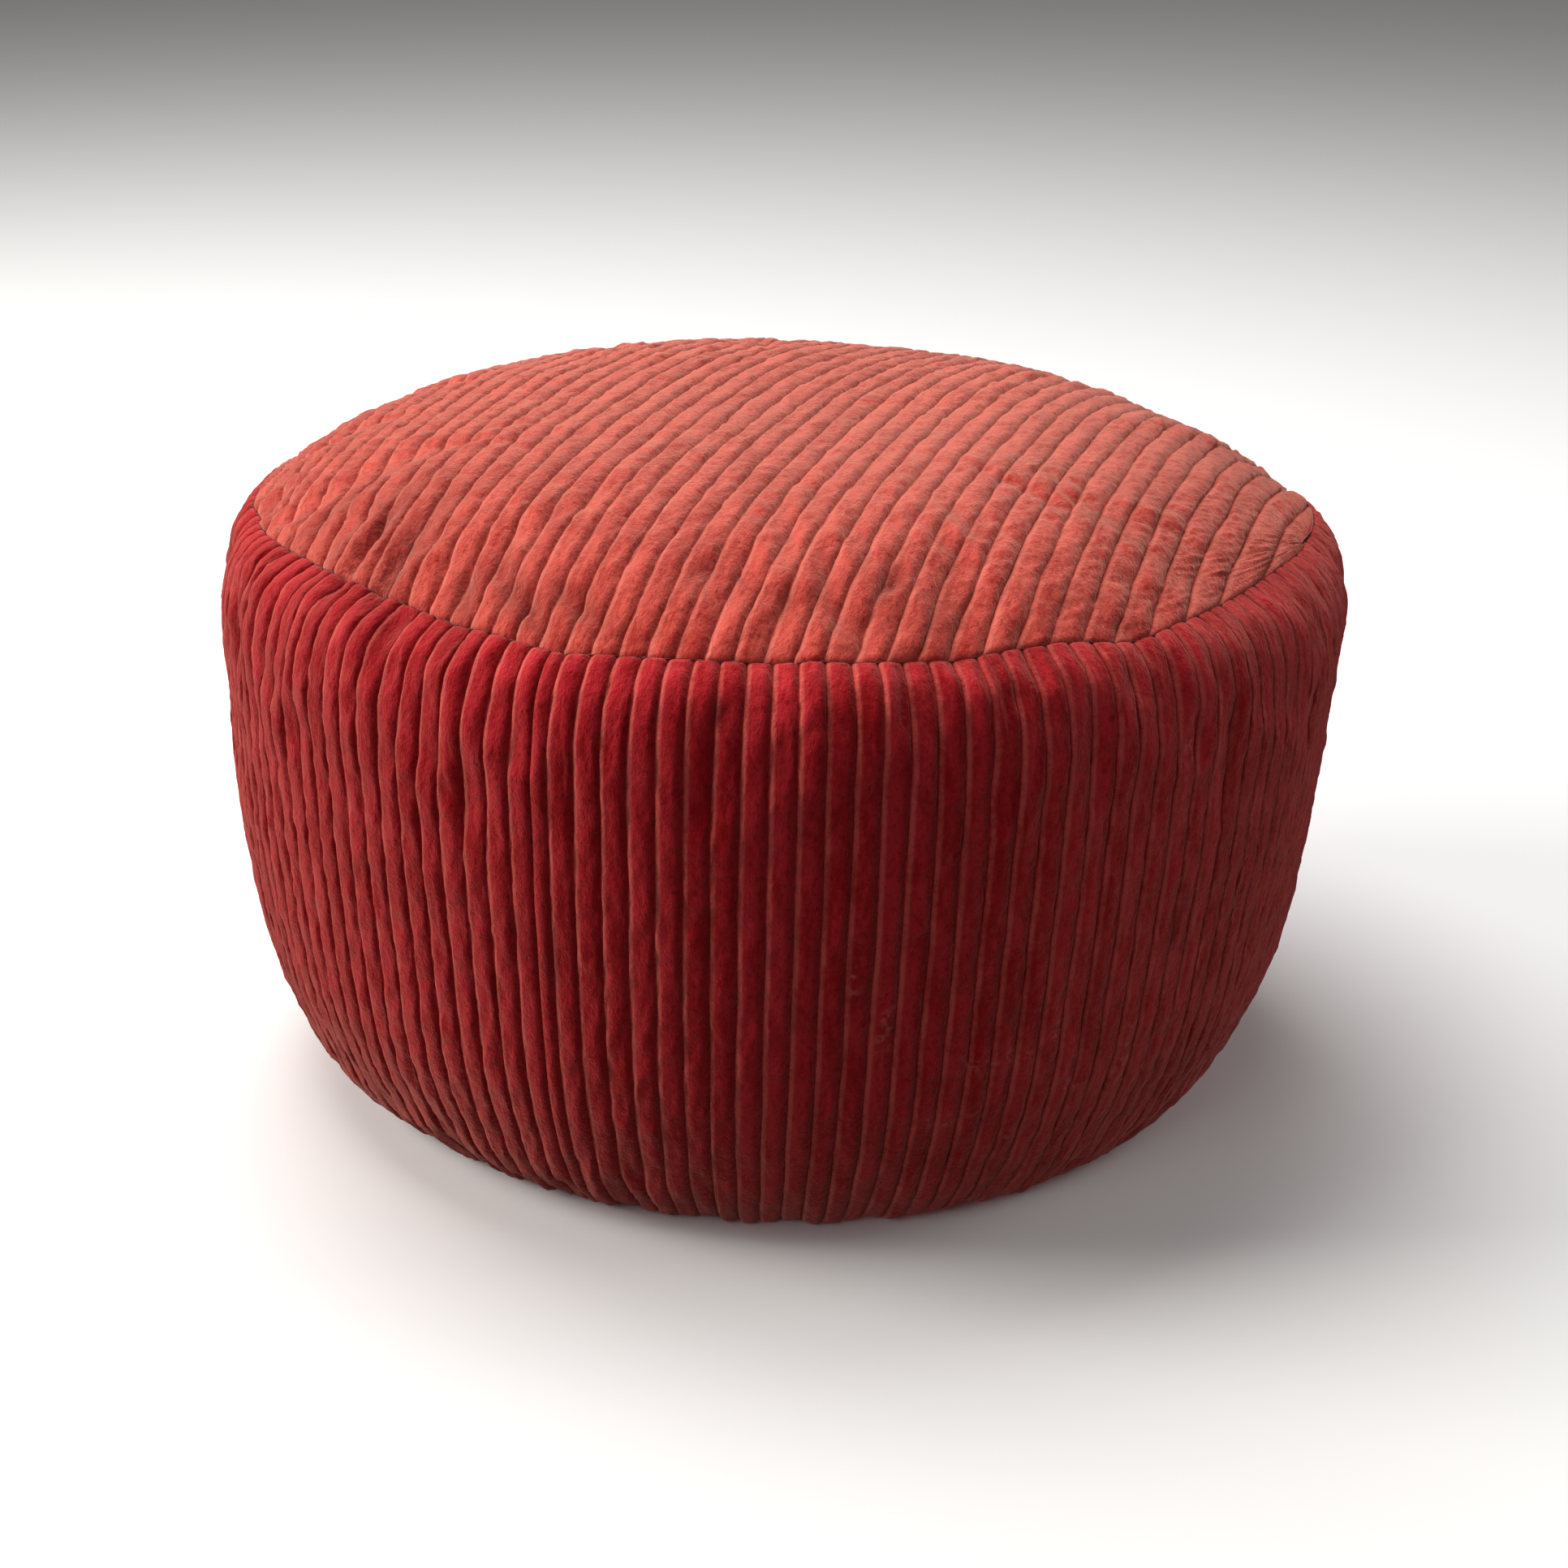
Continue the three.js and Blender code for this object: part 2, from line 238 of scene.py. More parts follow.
def smooth_line(points, per_span=16):
    """A Catmull-Rom curve through the points, as (distances along it, its points)."""
    p = np.array(points, float)
    p = np.vstack([2 * p[0] - p[1], p, 2 * p[-1] - p[-2]])
    t = np.linspace(0, 1, per_span, endpoint=False)[:, None]
    spans = [
        0.5
        * (
            2 * b
            + (c - a) * t
            + (2 * a - 5 * b + 4 * c - d) * t**2
            + (3 * b - a - 3 * c + d) * t**3
        )
        for a, b, c, d in zip(p[:-3], p[1:-2], p[2:-1], p[3:], strict=True)
    ]
    line = np.vstack([*spans, p[-2]])
    steps = np.linalg.norm(np.diff(line, axis=0), axis=1)
    return np.concatenate([[0], np.cumsum(steps)]), line


def cubic_weights(t):
    return np.stack(
        [
            -0.5 * t + t**2 - 0.5 * t**3,
            1 - 2.5 * t**2 + 1.5 * t**3,
            0.5 * t + 2 * t**2 - 1.5 * t**3,
            -0.5 * t**2 + 0.5 * t**3,
        ],
    )


def sample(grid, row, column):
    """A grid's values between its points. Its columns go round and close; its rows end."""
    rows, columns = grid.shape[:2]
    row = np.clip(row, 0, rows - 1)
    row0, column0 = np.floor(row).astype(int), np.floor(column).astype(int)
    row_w, column_w = cubic_weights(row - row0), cubic_weights(column - column0)
    found = 0
    for i in range(4):
        r = np.clip(row0 + i - 1, 0, rows - 1)
        for j in range(4):
            weight = row_w[i] * column_w[j]
            found = found + grid[r, (column0 + j - 1) % columns] * weight[..., None]
    return found


def divided(line, closed, step):
    """A line with its long parts divided."""
    found = []
    for a, b in zip(line, np.roll(line, -1, 0), strict=True):
        count = max(1, math.ceil(np.linalg.norm(b - a) / step))
        found += [a + (b - a) * k / count for k in range(count)]
    return np.array(found if closed else found[: -count + 1] if count > 1 else found)


def rounded(corners, radius, closed=True, step=9):
    """An outline in millimetres with rounded corners. An open one keeps its ends."""
    corners = np.array(corners, float)
    line = []
    for i, here in enumerate(corners):
        if not closed and i in (0, len(corners) - 1):
            line.append(here)
            continue
        before, after = corners[i - 1] - here, corners[(i + 1) % len(corners)] - here
        start = here + before * min(0.45, radius / np.linalg.norm(before))
        end = here + after * min(0.45, radius / np.linalg.norm(after))
        line += [(1 - t) ** 2 * start + 2 * t * (1 - t) * here + t * t * end for t in np.linspace(0, 1, 5)]
    return divided(np.array(line), closed, step)


def dome(rim_r, rim_z, top_z, power, count=26):
    """A dome's outline from its rim to near its middle."""
    r = rim_r * np.cos(np.linspace(0, np.pi / 2 * 0.995, count))
    return np.stack([r, rim_z + (top_z - rim_z) * (1 - (r / rim_r) ** power)], 1)


class Wander:
    """Smooth noise that runs on along each of many lines, from -1 to 1."""

    def __init__(self, lines, length, step):
        self.step = step
        self.values = rng.uniform(-1, 1, (lines, int(length / step) + 4))

    def __call__(self, line, along):
        place = np.maximum(along, 0) / self.step
        knot = np.minimum(place.astype(int), self.values.shape[1] - 2)
        t = place - knot
        t = t * t * (3 - 2 * t)
        line = line % len(self.values)
        return self.values[line, knot] * (1 - t) + self.values[line, knot + 1] * t


# ---- The stuffed form ----


def outer_line():
    """The cover's outer line, from the base seam up the wall and over the crown to the middle."""
    _, wall = smooth_line(WALL)
    r = SEAM_R * np.cos(np.linspace(0, np.pi / 2, 160))[1:]
    z = SEAM_Z + (HEIGHT - SEAM_Z) * (1 - (r / SEAM_R) ** CROWN_POWER)
    line = np.vstack([wall, np.stack([r, z], 1)])
    at = np.concatenate([[0], np.cumsum(np.linalg.norm(np.diff(line, axis=0), axis=1))])
    return at, line, at[len(wall) - 1]


LINE_AT, LINE, SEAM_AT = outer_line()
UPPER = LINE_AT > SEAM_AT - 25 * MM


def on_line(along):
    """(radius, height) and the outward normal in the same plane, at a distance along the outer line."""
    r, z = (np.interp(along, LINE_AT, LINE[:, k]) for k in (0, 1))
    dr, dz = (
        np.interp(along + MM, LINE_AT, LINE[:, k]) - np.interp(along - MM, LINE_AT, LINE[:, k])
        for k in (0, 1)
    )
    length = np.maximum(np.hypot(dr, dz), 1e-9)
    return r, z, dz / length, -dr / length


def along_at(r):
    """The distance along the outer line where the top has that radius."""
    return np.interp(-r, -LINE[UPPER, 0], LINE_AT[UPPER])


def seam_table():
    """How many millimetres in the top seam strays, at each whole degree from -180."""
    degrees = np.arange(-180, 180)
    stray = np.zeros(len(degrees))
    for at, wide, inwards in SEAM_STRAYS:
        away = (degrees - at + 180) % 360 - 180
        stray += inwards * np.exp(-((away / wide) ** 2))
    return stray


SEAM_TABLE = SEAM_AT + seam_table() * MM


def seam_at(angle):
    """How far along the outer line the top seam is, at an angle."""
    return np.interp(np.degrees(angle), np.arange(-180, 180), SEAM_TABLE, period=360)


def lean(points):
    """The whole pouf's lean and its plumper left side."""
    moved = points.copy()
    moved[..., 0] += LEAN * points[..., 2]
    moved[..., 2] *= 1 - LEFT_PLUMP * points[..., 0] / MAX_R
    return moved


# ---- Cloth simulation of the cover ----

ROUND = 150
TOP_ROWS = 26
WALL_ROWS = 32
BASE_ROWS = 6
SIM_FRAMES = 30
LOOSENESS = 0.016  # how much longer the loosest cloth is than its place
CREASE_CAP = 1.5 * MM


FORM_AT = np.concatenate([
    np.linspace(0, SEAM_AT, WALL_ROWS),
    np.linspace(SEAM_AT, LINE_AT[-1], TOP_ROWS + 1)[1:-1],
])


def form_ring(along):
    """The form's ring at a distance along the outer line."""
    return BASE_ROWS - 1 + np.interp(along, FORM_AT, np.arange(len(FORM_AT)))


def form_grid():
    """The cover as rings of points, from the base's middle up the wall to the top's middle."""
    base = [(BASE_R * k / BASE_ROWS, 0) for k in range(1, BASE_ROWS)]
    r, z, _, _ = on_line(FORM_AT)
    rings = [*base, *zip(r, z, strict=True)]
    angle = np.arange(ROUND) * 2 * np.pi / ROUND
    return np.array([[(r * np.sin(a), -r * np.cos(a), z) for a in angle] for r, z in rings])


def add_group(piece, name, weights):
    group = piece.vertex_groups.new(name=name)
    for index, weight in enumerate(weights):
        group.add([index], float(weight), "REPLACE")
    return group.name


def simulate_creases():
    """How far the sewn cover moves from its smooth form when it's filled, on the form's grid."""
    grid = form_grid()
    rings = len(grid)
    poles = [(0, 0, 0), (0, 0, HEIGHT)]
    points = np.vstack([grid.reshape(-1, 3), poles])
    foot, head = len(points) - 2, len(points) - 1
    last = (rings - 1) * ROUND
    fans = [(foot, (k + 1) % ROUND, k) for k in range(ROUND)]
    fans += [(head, last + k, last + (k + 1) % ROUND) for k in range(ROUND)]
    form = add_mesh("form", points, [*grid_faces(rings, ROUND, closed=True), *fans])

    top_seam = BASE_ROWS - 1 + WALL_ROWS - 1
    ring = np.arange(rings)[:, None]
    to_seam = np.minimum(np.abs(ring - top_seam), np.abs(ring - BASE_ROWS + 1))
    slack = np.clip(to_seam / 3, 0, 1) * (0.15 + 0.85 * np.exp(-to_seam / 8))
    patches = Wander(rings, 2 * math.pi, 0.35)
    angle = np.arange(ROUND)[None, :] * 2 * np.pi / ROUND
    spread = 0.55 + 0.45 * patches(ring // 6, angle)
    loose = np.append(np.clip(slack * spread, 0, 1).ravel(), [0, 0])
    pinned = np.append(np.repeat((np.arange(rings) < BASE_ROWS).astype(float), ROUND), [1, 0])

    cloth = form.modifiers.new("cover", "CLOTH")
    settings = cloth.settings
    settings.quality = 5
    settings.mass = 0.5
    settings.tension_stiffness = 18
    settings.compression_stiffness = 40
    settings.shear_stiffness = 6
    settings.bending_stiffness = 0.5
    settings.use_pressure = True
    settings.uniform_pressure_force = 12
    settings.effector_weights.gravity = 0
    settings.vertex_group_mass = add_group(form, "pinned", pinned)
    settings.vertex_group_shrink = add_group(form, "tight", 1 - loose)
    settings.shrink_min = -LOOSENESS
    settings.shrink_max = 0.0
    cloth.point_cache.frame_end = SIM_FRAMES
    scene = bpy.context.scene
    for number in range(1, SIM_FRAMES + 1):
        scene.frame_set(number)
    settled = form.evaluated_get(bpy.context.evaluated_depsgraph_get()).data
    moved = np.empty(len(points) * 3, np.float32)
    settled.vertices.foreach_get("co", moved)
    scene.frame_set(1)
    bpy.data.objects.remove(form)

    shift = moved.reshape(-1, 3)[:-2].reshape(grid.shape) - grid
    radial = np.stack([np.sin(angle), -np.cos(angle)], -1)
    out = (shift[..., :2] * radial).sum(-1)
    # The swelling that is the same all round belongs to the form already, so only the creases stay.
    out -= out.mean(1, keepdims=True)
    rise = shift[..., 2] - shift[..., 2].mean(1, keepdims=True)
    creases = np.stack([out, rise], -1)
    size = np.linalg.norm(creases, axis=-1, keepdims=True)
    print("creases mm", float(size.mean() / MM), float(size.max() / MM))
    return creases * np.minimum(1, CREASE_CAP / np.maximum(size, 1e-9))


creases = simulate_creases()


def creased(points, along, angle):
    """Points moved with the creases at their place on the form."""
    ring = form_ring(along)
    out, rise = np.moveaxis(sample(creases, ring, (angle % (2 * np.pi)) * ROUND / (2 * np.pi)), -1, 0)
    shift = np.stack([out * np.sin(angle), -out * np.cos(angle), rise], -1)
    return points + shift


# ---- Corduroy ----


def ridge(phase):
    """A wale's section: 0 in the grooves on each side, 1 on its crest."""
    return np.clip(1 - np.abs(2 * phase - 1) ** RIDGE_POWER, 0, 1) ** RIDGE_ROUND


def tuck(distance):
    """How far cloth dips as it turns in to a seam, at a distance from the seam."""
    near = 1 - np.clip(distance / TUCK_WIDE, 0, 1)
    return -TUCK_DEEP * (1 - np.sqrt(1 - near**2))


# Hollows where the cloth is pinched: degrees round, millimetres from the top seam towards the middle, half
# length, half width, depth, and the way the length runs, in degrees from the seam's own direction.
DENTS = [
    (-54, 24, 32, 5.5, 6.5, 112),
    (-47, 17, 22, 5.5, 5, 117),
    (-50, 54, 38, 8, 2.4, 114),
    (-60, 40, 34, 7, 2.2, 108),
    (-36, 20, 15, 5, 3.6, 125),
    (-32, 30, 20, 4.5, 3, 130),
    (-27, 18, 15, 4.5, 4, 135),
    (-22, 24, 18, 5, 3.2, 145),
    (-10, 53, 9, 5, 2.6, 60),
    (12, 47, 10, 4.5, 4.2, 60),
    (4, 30, 40, 9, 1.6, 160),
    (-66, 30, 30, 7, 3, 105),
    (-41, -10, 10, 5, 3, 80),
    (-33, -9, 9, 5, 3, 85),
    (10.5, -18, 17, 2.2, 2.8, 90),
    (20, -20, 16, 2.2, 2.6, 92),
    (27, -14, 12, 2.2, 2.2, 92),
    (-69, -58, 8, 9, 3, 90),
    (-39, -62, 20, 5, 1.6, 92),
    (62, -12, 12, 3, 2, 90),
    (140, 20, 24, 6, 4, 70),
    (-150, 22, 26, 6, 4, 100),
    (100, 18, 18, 5, 3, 60),
    (-46, -302, 110, 20, 4, 0),
    (-10, -305, 90, 14, 1.8, 0),
    (-90, -52, 110, 45, 2.6, 0),
]


WIDE_DENT = 60  # a longer one only shapes the form


def round_from(angle, degrees):
    """The angle from a place given in degrees, the short way round."""
    return (angle - math.radians(degrees) + math.pi) % (2 * math.pi) - math.pi


def pinches(angle, along, r):
    """The depth of the hollows, and how much their pile is darkened: partly flattened pile, partly painted
    shade in the hollows.
    """
    depth = np.zeros_like(along)
    crush_and_hollow_shade = np.zeros_like(along)
    for degrees, inward, half_long, half_wide, deep, turn in DENTS:
        du = round_from(angle, degrees) * r
        dv = along - (SEAM_AT + inward * MM)
        c, s = math.cos(math.radians(turn)), math.sin(math.radians(turn))
        u, v = (du * c + dv * s) / (half_long * MM), (dv * c - du * s) / (half_wide * MM)
        depth += deep * MM * np.exp(-(u**2) - v**2)
        if half_long < WIDE_DENT:
            # Darkening in the narrower hollows: flattened pile with painted shade.
            crush_and_hollow_shade += np.exp(-0.5 * (u**2 + v**2)) * min(1, deep / 5)
    return depth, np.minimum(crush_and_hollow_shade, 1)


# Pale rubbed specks on the side: degrees round, millimetres up the wall, half width and half height.
SCUFFS = [
    (7, 172, 3, 13), (10, 147, 5, 16), (23, 121, 12, 5), (25, 74, 6, 4), (28, 131, 4, 14), (17, 91, 14, 4),
    (37, 106, 6, 16), (19, 122, 7, 5), (40, 249, 3, 30), (30, 96, 10, 5), (-8, 60, 14, 3),
]


def scuffed(angle, along):
    worn = np.zeros_like(along)
    for degrees, up, half_wide, half_high in SCUFFS:
        u = round_from(angle, degrees) * MAX_R / (half_wide * MM)
        v = (along - up * MM) / (half_high * MM)
        worn += np.exp(-(u**2) - v**2)
    return np.minimum(worn, 1)


def rough_pile(shape):
    """Small lumps in the pile: a mix of single-point and wider noise."""
    fine = rng.normal(0, 0.13 * MM, shape)
    wide = rng.normal(0, 0.85 * MM, shape)
    for axis in (0, 1):
        wide = (np.roll(wide, 1, axis) + 2 * wide + np.roll(wide, -1, axis)) / 4
    return fine + wide


def wale_height(index, phase, along, swell, edge):
    """The pile's height against its crest line, with wales that swell and thin as they run."""
    height = RELIEF * (ridge(phase) * (1 + 0.14 * swell(index, along)) - 1)
    return height + rough_pile(phase.shape) * edge


def grooves_drift(wander, index, phase, along):
    return wander(index, along) * (1 - phase) + wander(index + 1, along) * phase


def cloth_points(angle, along, height):
    """Points on the cover, at a height over its outer line."""
    r, z, out, up = on_line(along)
    depth, crush_and_hollow_shade = pinches(angle, along, r)
    height = height - depth
    r = r + out * height
    points = np.stack([r * np.sin(angle), -r * np.cos(angle), z + up * height], -1)
    points = lean(creased(points, along, angle))
    points[..., 2] = np.maximum(points[..., 2], 0.2 * MM)
    return points, crush_and_hollow_shade


def turn_in(pad, angle, along, height, *others):
    """The same grids with a row or column more at each sewn edge, one cloth's thickness inside."""
    angle, along, height, *others = (
        np.pad(values, pad, mode="edge") for values in (angle, along, height, *others)
    )
    for axis in (0, 1):
        if pad[axis][0]:
            edges = np.take(height, [0, -1], axis)
            index = [slice(None), slice(None)]
            index[axis] = [0, -1]
            height[tuple(index)] = edges - CLOTH
    return angle, along, height, *others


# Top panel. Its wales run across it. They bend a little towards the back, but not at the right.
WALE_TURN = math.radians(73)
BEND = 0.19
BEND_FROM = -0.1 * MAX_R
BEND_LONG = 0.6 * MAX_R
BEND_FADE = 0.8 * MAX_R
TOP_MIDDLE_ROWS = 178
FIRST_GROOVE = 0.35  # of a wale, from the top's middle
top_grooves = Wander(64, 0.6, 26 * MM)
top_swell = Wander(64, 0.6, 18 * MM)


def row_places(length):
    """Distances along wales of these lengths: close together at the sewn ends and even between."""
    length = length[None, :]
    ends = SEAM_ROWS[:, None] * np.minimum(1, length / (3 * SEAM_ROWS[-1]))
    middle = np.linspace(0, 1, TOP_MIDDLE_ROWS + 2)[1:-1, None]
    between = ends[-1:] + middle * (length - 2 * ends[-1:])
    return np.vstack([ends, between, length - ends[::-1]])


def bend_shift(run, side):
    """How far each wale on the top has drifted sideways, at a distance along it."""
    bent = run - BEND_FROM
    t = np.clip(bent / BEND_LONG, 0, 1)
    share = 1 - np.clip(side / BEND_FADE, 0, 1)
    return BEND * share * (BEND_LONG * (t**3 - t**4 / 2) + np.maximum(bent - BEND_LONG, 0))


def top_place(run, side):
    """(angle, radius) of a point at a distance along the wales and a distance across them."""
    x = run * math.cos(WALE_TURN) + side * math.sin(WALE_TURN)
    y = run * math.sin(WALE_TURN) - side * math.cos(WALE_TURN)
    return np.arctan2(x, -y), np.hypot(x, y)


def past_seam(run, side):
    angle, r = top_place(run, side)
    return r > on_line(seam_at(angle))[0]


def middle_reach(way):
    """How far the top reaches across the wales from its middle, one way."""
    near, far = 0.0, way * 1.2 * SEAM_R
    for _ in range(40):
        middle = np.array([(near + far) / 2])
        if past_seam(0 * middle, middle + bend_shift(0 * middle, middle))[0]:
            far = middle[0]
        else:
            near = middle[0]
    return near


def wale_ends(side):
    """Where the wales that cross the middle line at these distances meet the seam."""
    ends = []
    for way in (-1, 1):
        near, far = np.zeros_like(side), np.full_like(side, way * 1.2 * SEAM_R)
        for _ in range(30):
            middle = (near + far) / 2
            outside = past_seam(middle, side + bend_shift(middle, side))
            near, far = np.where(outside, near, middle), np.where(outside, middle, far)
        ends.append(near)
    return ends


def top_panel():
    reach = int(SEAM_R / WALE) + 1
    wale = np.arange(-reach - 1, reach + 1)
    side = ((wale[:, None] + WALE_SAMPLES + FIRST_GROOVE) * WALE).ravel()
    least, most = middle_reach(-1), middle_reach(1)
    inside = (side > least + 0.1 * MM) & (side < most - 0.1 * MM)
    side = np.concatenate([[least], side[inside], [most]])
    place = side / WALE - FIRST_GROOVE
    index, phase = np.floor(place).astype(int) + 32, place % 1
    low, high = wale_ends(side)
    run = row_places(high - low) + low[None, :]
    index, phase = (np.broadcast_to(values, run.shape) for values in (index, phase))
    side = side[None, :] + bend_shift(run, side[None, :])
    angle, r = top_place(run, side)
    from_seam = np.maximum(along_at(r) - seam_at(angle), 0)
    edge = np.clip(from_seam / (9 * MM), 0, 1)
    from_start = run + 1.2 * SEAM_R
    side = side + 0.7 * MM * grooves_drift(top_grooves, index, phase, from_start) * edge
    angle, r = top_place(run, side)
    along = np.maximum(along_at(r), seam_at(angle))
    height = wale_height(index, phase, from_start, top_swell, edge) + tuck(along - seam_at(angle))
    pad = ((1, 1), (0, 0))
    angle, along, height, side, run, index, phase = turn_in(
        pad, angle, along, height, side, run, index, phase
    )
    points, crush_and_hollow_shade = cloth_points(angle, along, height)
    piece = add_mesh("cover_top_corduroy", points.reshape(-1, 3), grid_faces(*run.shape)[:, ::-1])
    add_attribute(piece, "pile", np.stack([side, run, phase], -1))
    # Wear: each wale's own tone, and the hollows' darkening (flattened pile with painted shade).
    add_attribute(piece, "wear", np.stack([rng.random(80)[index], crush_and_hollow_shade, 0 * run], -1))
    return piece


# Side band. Its wales stand upright, an even angle apart, and each half ends in part of a wale.
STEP = 2 * math.pi / WALES_ROUND
BAND_ROWS = 84
FOOT_ROWS = [0, 1.2 * MM, 3 * MM, 5.5 * MM]
band_grooves = Wander(220, 0.5, 26 * MM)
band_swell = Wander(220, 0.5, 20 * MM)


def band_columns(start, first_groove):
    """Angle, wale number and phase of each column of a half that starts at a seam."""
    number = np.repeat(np.arange(-1, WALES_ROUND // 2 + 2), len(WALE_SAMPLES))
    place = number + np.tile(WALE_SAMPLES, WALES_ROUND // 2 + 3)
    first, last = ((a - first_groove) / STEP for a in (start, start + math.pi))
    place = place[(place > first + 0.02) & (place < last - 0.02)]
    place = np.concatenate([[first], place, [last]])
    return first_groove + place * STEP, np.floor(place).astype(int), place % 1


def side_panel(name, start, first_groove, line):
    angle, index, phase = band_columns(start, first_groove)
    even = np.linspace(8.5 * MM, SEAM_AT - SEAM_ROWS[-1], BAND_ROWS)[:-1]
    rows = np.concatenate([FOOT_ROWS, even, SEAM_AT - SEAM_ROWS[::-1]])
    share = (rows / SEAM_AT)[:, None] ** 2
    along = rows[:, None] + share * (seam_at(angle) - SEAM_AT)[None, :]
    index, phase = (np.broadcast_to(values, along.shape) for values in (index + line, phase))
    from_side = np.minimum(angle - start, start + math.pi - angle)[None, :] * MAX_R
    from_top = seam_at(angle)[None, :] - along
    edge = np.clip(np.minimum(from_top, from_side) / (9 * MM), 0, 1)
    turned = angle[None, :] + 0.035 * STEP * grooves_drift(band_grooves, index, phase, along) * edge
    height = wale_height(index, phase, along, band_swell, edge)
    height = height + np.minimum(0.6 * tuck(from_top), 0.8 * tuck(from_side))
    pad = ((1, 1), (1, 1))
    turned, along, height, index, phase = turn_in(pad, turned, along, height, index, phase)
    points, crush_and_hollow_shade = cloth_points(turned, along, height)
    piece = add_mesh(name, points.reshape(-1, 3), grid_faces(*along.shape))
    arc = turned * MAX_R
    add_attribute(piece, "pile", np.stack([arc, along, phase], -1))
    # Wear: each wale's own tone, the hollows' darkening (flattened pile with painted shade) and the rubbed
    # specks.
    wear = np.stack([rng.random(300)[index], crush_and_hollow_shade, scuffed(turned, along)], -1)
    add_attribute(piece, "wear", wear)
    return piece


# ---- Materials ----


class Nodes:
    """A material's node tree, with its Principled shader, built by short calls."""

    def __init__(self, name, **sockets):
        self.material = bpy.data.materials.new(name)
        self.material.use_nodes = True
        self.tree = self.material.node_tree
        self.shader = self.tree.nodes["Principled BSDF"]
        for socket, value in sockets.items():
            self.shader.inputs[socket.replace("_", " ")].default_value = value

    def add(self, kind, inputs=None, **settings):
        node = self.tree.nodes.new(kind)
        for key, value in settings.items():
            setattr(node, key, value)
        for key, value in (inputs or {}).items():
            self.join(value, node.inputs[key])
        return node

    def join(self, value, socket):
        if isinstance(value, bpy.types.NodeSocket):
            self.tree.links.new(value, socket)
        else:
            socket.default_value = value

    def attribute(self, name):
        return self.add("ShaderNodeAttribute", attribute_name=name).outputs["Vector"]

    def split(self, vector):
        return self.add("ShaderNodeSeparateXYZ", {0: vector}).outputs

    def stretch(self, vector, scale):
        return self.add("ShaderNodeMapping", {"Vector": vector, "Scale": scale}).outputs[0]

    def noise(self, vector, scale, detail=2.0, rough=0.5):
        inputs = {"Vector": vector, "Scale": scale, "Detail": detail, "Roughness": rough}
        return self.add("ShaderNodeTexNoise", inputs).outputs[0]

    def ramp(self, value, low, high, to_low=0.0, to_high=1.0):
        inputs = {0: value, 1: low, 2: high, 3: to_low, 4: to_high}
        node = self.add("ShaderNodeMapRange", inputs, interpolation_type="SMOOTHSTEP")
        return node.outputs[0]

    def wave(self, vector, spacing, way):
        """Threads a spacing apart, across one axis."""
        scale = 2 * math.pi / 20 / spacing
        inputs = {"Vector": vector, "Scale": scale, "Distortion": 0.4, "Detail": 1}
        return self.add("ShaderNodeTexWave", inputs, bands_direction=way).outputs["Fac"]

    def math(self, operation, a, b=0.0):
        return self.add("ShaderNodeMath", {0: a, 1: b}, operation=operation).outputs[0]

    def mix(self, share, a, b):
        node = self.add("ShaderNodeMix", {"Factor": share}, data_type="RGBA")
        self.join(a, node.inputs[6])
        self.join(b, node.inputs[7])
        return node.outputs[2]

    def bump(self, height, strength, distance):
        inputs = {"Height": height, "Strength": strength, "Distance": distance}
        return self.add("ShaderNodeBump", inputs).outputs[0]

    def finish(self, colour=None, normal=None, roughness=None):
        for socket, value in (("Base Color", colour), ("Normal", normal), ("Roughness", roughness)):
            if value is not None:
                self.join(value, self.shader.inputs[socket])
        return self.material


